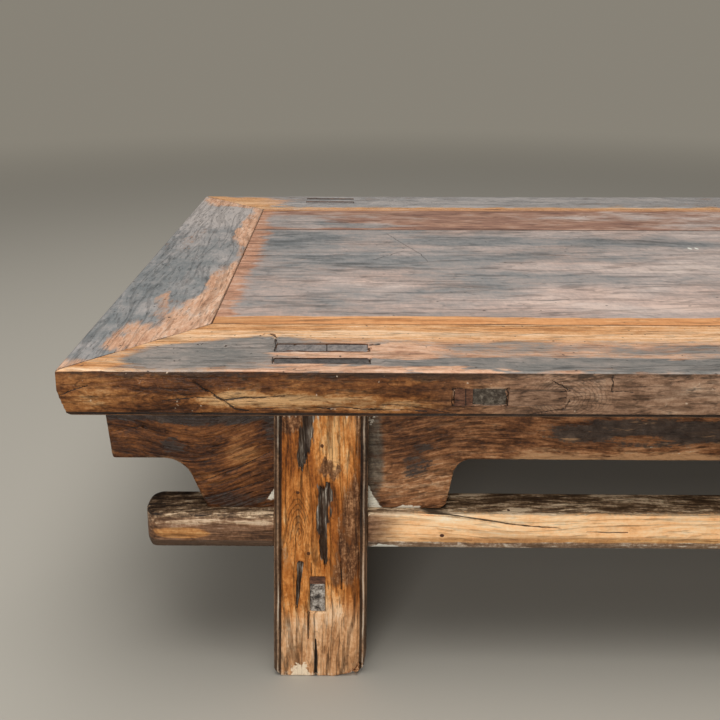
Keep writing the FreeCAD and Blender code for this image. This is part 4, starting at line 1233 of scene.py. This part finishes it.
def plain_finish():
    """Plain brown wood with dark end grain."""
    s = Shader("plain_finish")
    broad = s.streaks(2, 18)
    mid = s.streaks(9, 120, 4, 0.7)
    fine = s.streaks(32, 380, 3, 0.72)
    pores = s.pores(36, 400, 0.6)
    wood = s.ramp(s.tone((broad, 0.7), (mid, 1), (fine, 0.6)), [
        (0.2, (0.06, 0.034, 0.02)), (0.5, (0.19, 0.11, 0.06)), (0.8, (0.38, 0.245, 0.145))])
    wood = s.darken(wood, (pores, 0.4))
    end_grain = s.ramp(s.tone((s.noise(s.place, 260, 4, 0.72), 1.3)), [
        (0.25, (0.016, 0.012, 0.008)), (0.5, (0.075, 0.057, 0.041)), (0.8, (0.25, 0.21, 0.16))])
    outer = s.smooth(s.size(s.y), half_depth - 0.02, half_depth - 0.01)
    height = s.add(s.times(mid, 0.4), s.times(fine, 0.4), s.times(pores, -0.3))
    return s.finish(s.mix(outer, wood, end_grain), 0.66, height, 0.0012)


def wedge_finish(name, dark, light, routes):
    """End grain of a wedge or a let-in block, with its cracks."""
    s = Shader(name)
    grit = s.noise(s.vector("MULTIPLY", s.place, (110, 140, 420)), 1, 4, 0.72)
    tone = s.tone((grit, 1.3), (s.noise(s.place, 60, 2), 0.6))
    color = s.ramp(tone, [(0.2, (0.012, 0.008, 0.006)), (0.45, dark), (0.75, light)])
    color = s.mix(s.strokes(s.x, s.z, routes), color, crack_color)
    return s.finish(color, 0.58, grit, 0.0008)


finishes = {
    "top_frame": frame_finish(),
    "panel": panel_finish(),
    "legs": leg_finish(),
    "aprons": apron_finish(),
    "rails": rail_finish(),
    "braces": plain_finish(),
}
wedge_split = [[(-0.3697, 0.2855, 0.001), (-0.369, 0.27, 0.001)]]
patch_crack = [[(-0.334, 0.2838, 0.0008), (-0.31, 0.2842, 0.001), (-0.289, 0.2838, 0.0008)]]
wedge_wood = wedge_finish("wedge_finish", (0.1, 0.04, 0.021), (0.26, 0.12, 0.065), wedge_split)
patch_wood = wedge_finish("patch_finish", (0.17, 0.092, 0.054), (0.36, 0.215, 0.134), patch_crack)

# Pieces
ring, ring_arrises = remeshed(list(mitres), ring_voxel, ring_faces)
for index, node in enumerate(pieces):
    if node in mitres:
        dress(cut_member(ring, node), node, ring_arrises, index)
    else:
        piece, arrises = remeshed([node], *pieces[node][1:])
        dress(piece, node, arrises, index)
bpy.data.objects.remove(ring)

kept_woods = {"brace_wedges": wedge_wood, "stretcher_wedges": wedge_wood, "edge_patch": patch_wood}
for node, wood in kept_woods.items():
    kept = frame["nodes"][node]
    kept.data.materials.clear()
    kept.data.materials.append(wood)


# Stage, light and camera
floor_color = (0.456, 0.424, 0.364)
sky_color = (0.6, 0.59, 0.57)
sky_strength = 0.24
backdrop_color = (0.245, 0.224, 0.185)
fade_reach = (1.3, 4.5)
floor_reach = 60.0


def make_floor():
    """A plain floor, on whose far part the camera sees the tone of the backdrop."""
    corners = [(-floor_reach, -floor_reach, 0), (floor_reach, -floor_reach, 0),
               (floor_reach, floor_reach, 0), (-floor_reach, floor_reach, 0)]
    mesh = bpy.data.meshes.new("floor")
    mesh.from_pydata(corners, [], [(0, 1, 2, 3)])
    s = Shader("floor_finish")
    for name, value in (("Base Color", floor_color), ("Roughness", 0.9), ("Specular IOR Level", 0.1)):
        s.put(s.surface.inputs[name], value)
    far = s.node("ShaderNodeVectorMath", {0: s.place}, operation="LENGTH").outputs["Value"]
    seen = s.node("ShaderNodeLightPath").outputs["Is Camera Ray"]
    glow = s.node("ShaderNodeEmission", {"Color": backdrop_color}).outputs[0]
    share = s.times(s.smooth(far, *fade_reach), seen)
    mixed = s.node("ShaderNodeMixShader", {0: share, 1: s.surface.outputs[0], 2: glow})
    s.put(s.tree.nodes["Material Output"].inputs["Surface"], mixed.outputs[0])
    mesh.materials.append(s.material)
    add_object("floor", mesh)


def make_light(name, place, size, power):
    light = bpy.data.lights.new(name, "AREA")
    light.size = size
    light.energy = power
    obj = add_object(name, light)
    obj.location = place
    aim = -obj.location
    obj.rotation_euler = aim.to_track_quat("-Z", "Y").to_euler()


def make_world():
    """Even light all round, behind which the camera sees the tone of the far floor."""
    world = bpy.data.worlds.new("studio")
    bpy.context.scene.world = world
    world.use_nodes = True
    tree = world.node_tree
    light = tree.nodes["Background"]
    light.inputs["Color"].default_value = (*sky_color, 1)
    light.inputs["Strength"].default_value = sky_strength
    seen = tree.nodes.new("ShaderNodeBackground")
    seen.inputs["Color"].default_value = (*backdrop_color, 1)
    rays = tree.nodes.new("ShaderNodeLightPath")
    mixed = tree.nodes.new("ShaderNodeMixShader")
    tree.links.new(rays.outputs["Is Camera Ray"], mixed.inputs[0])
    tree.links.new(light.outputs[0], mixed.inputs[1])
    tree.links.new(seen.outputs[0], mixed.inputs[2])
    tree.links.new(mixed.outputs[0], tree.nodes["World Output"].inputs[0])


def make_camera():
    camera = bpy.data.cameras.new("camera")
    camera.sensor_width = sensor_width
    camera.lens = focal_pixels / image_size * sensor_width
    camera.shift_x = (image_size / 2 - centre_pixel[0]) / image_size
    camera.shift_y = (centre_pixel[1] - image_size / 2) / image_size
    obj = add_object("camera", camera)
    away_x, away_y, height = camera_from_corner
    obj.location = (away_x - half_length, away_y - half_depth, height)
    obj.rotation_euler = (math.pi / 2 - camera_pitch, 0, camera_turn)
    bpy.context.scene.camera = obj


make_floor()
make_light("above", place=(-0.5, -0.5, 2.6), size=2.0, power=58)
make_light("front", place=(-1.2, -3.4, 0.85), size=1.6, power=62)
make_world()
make_camera()
bpy.context.scene.view_settings.view_transform = "Standard"
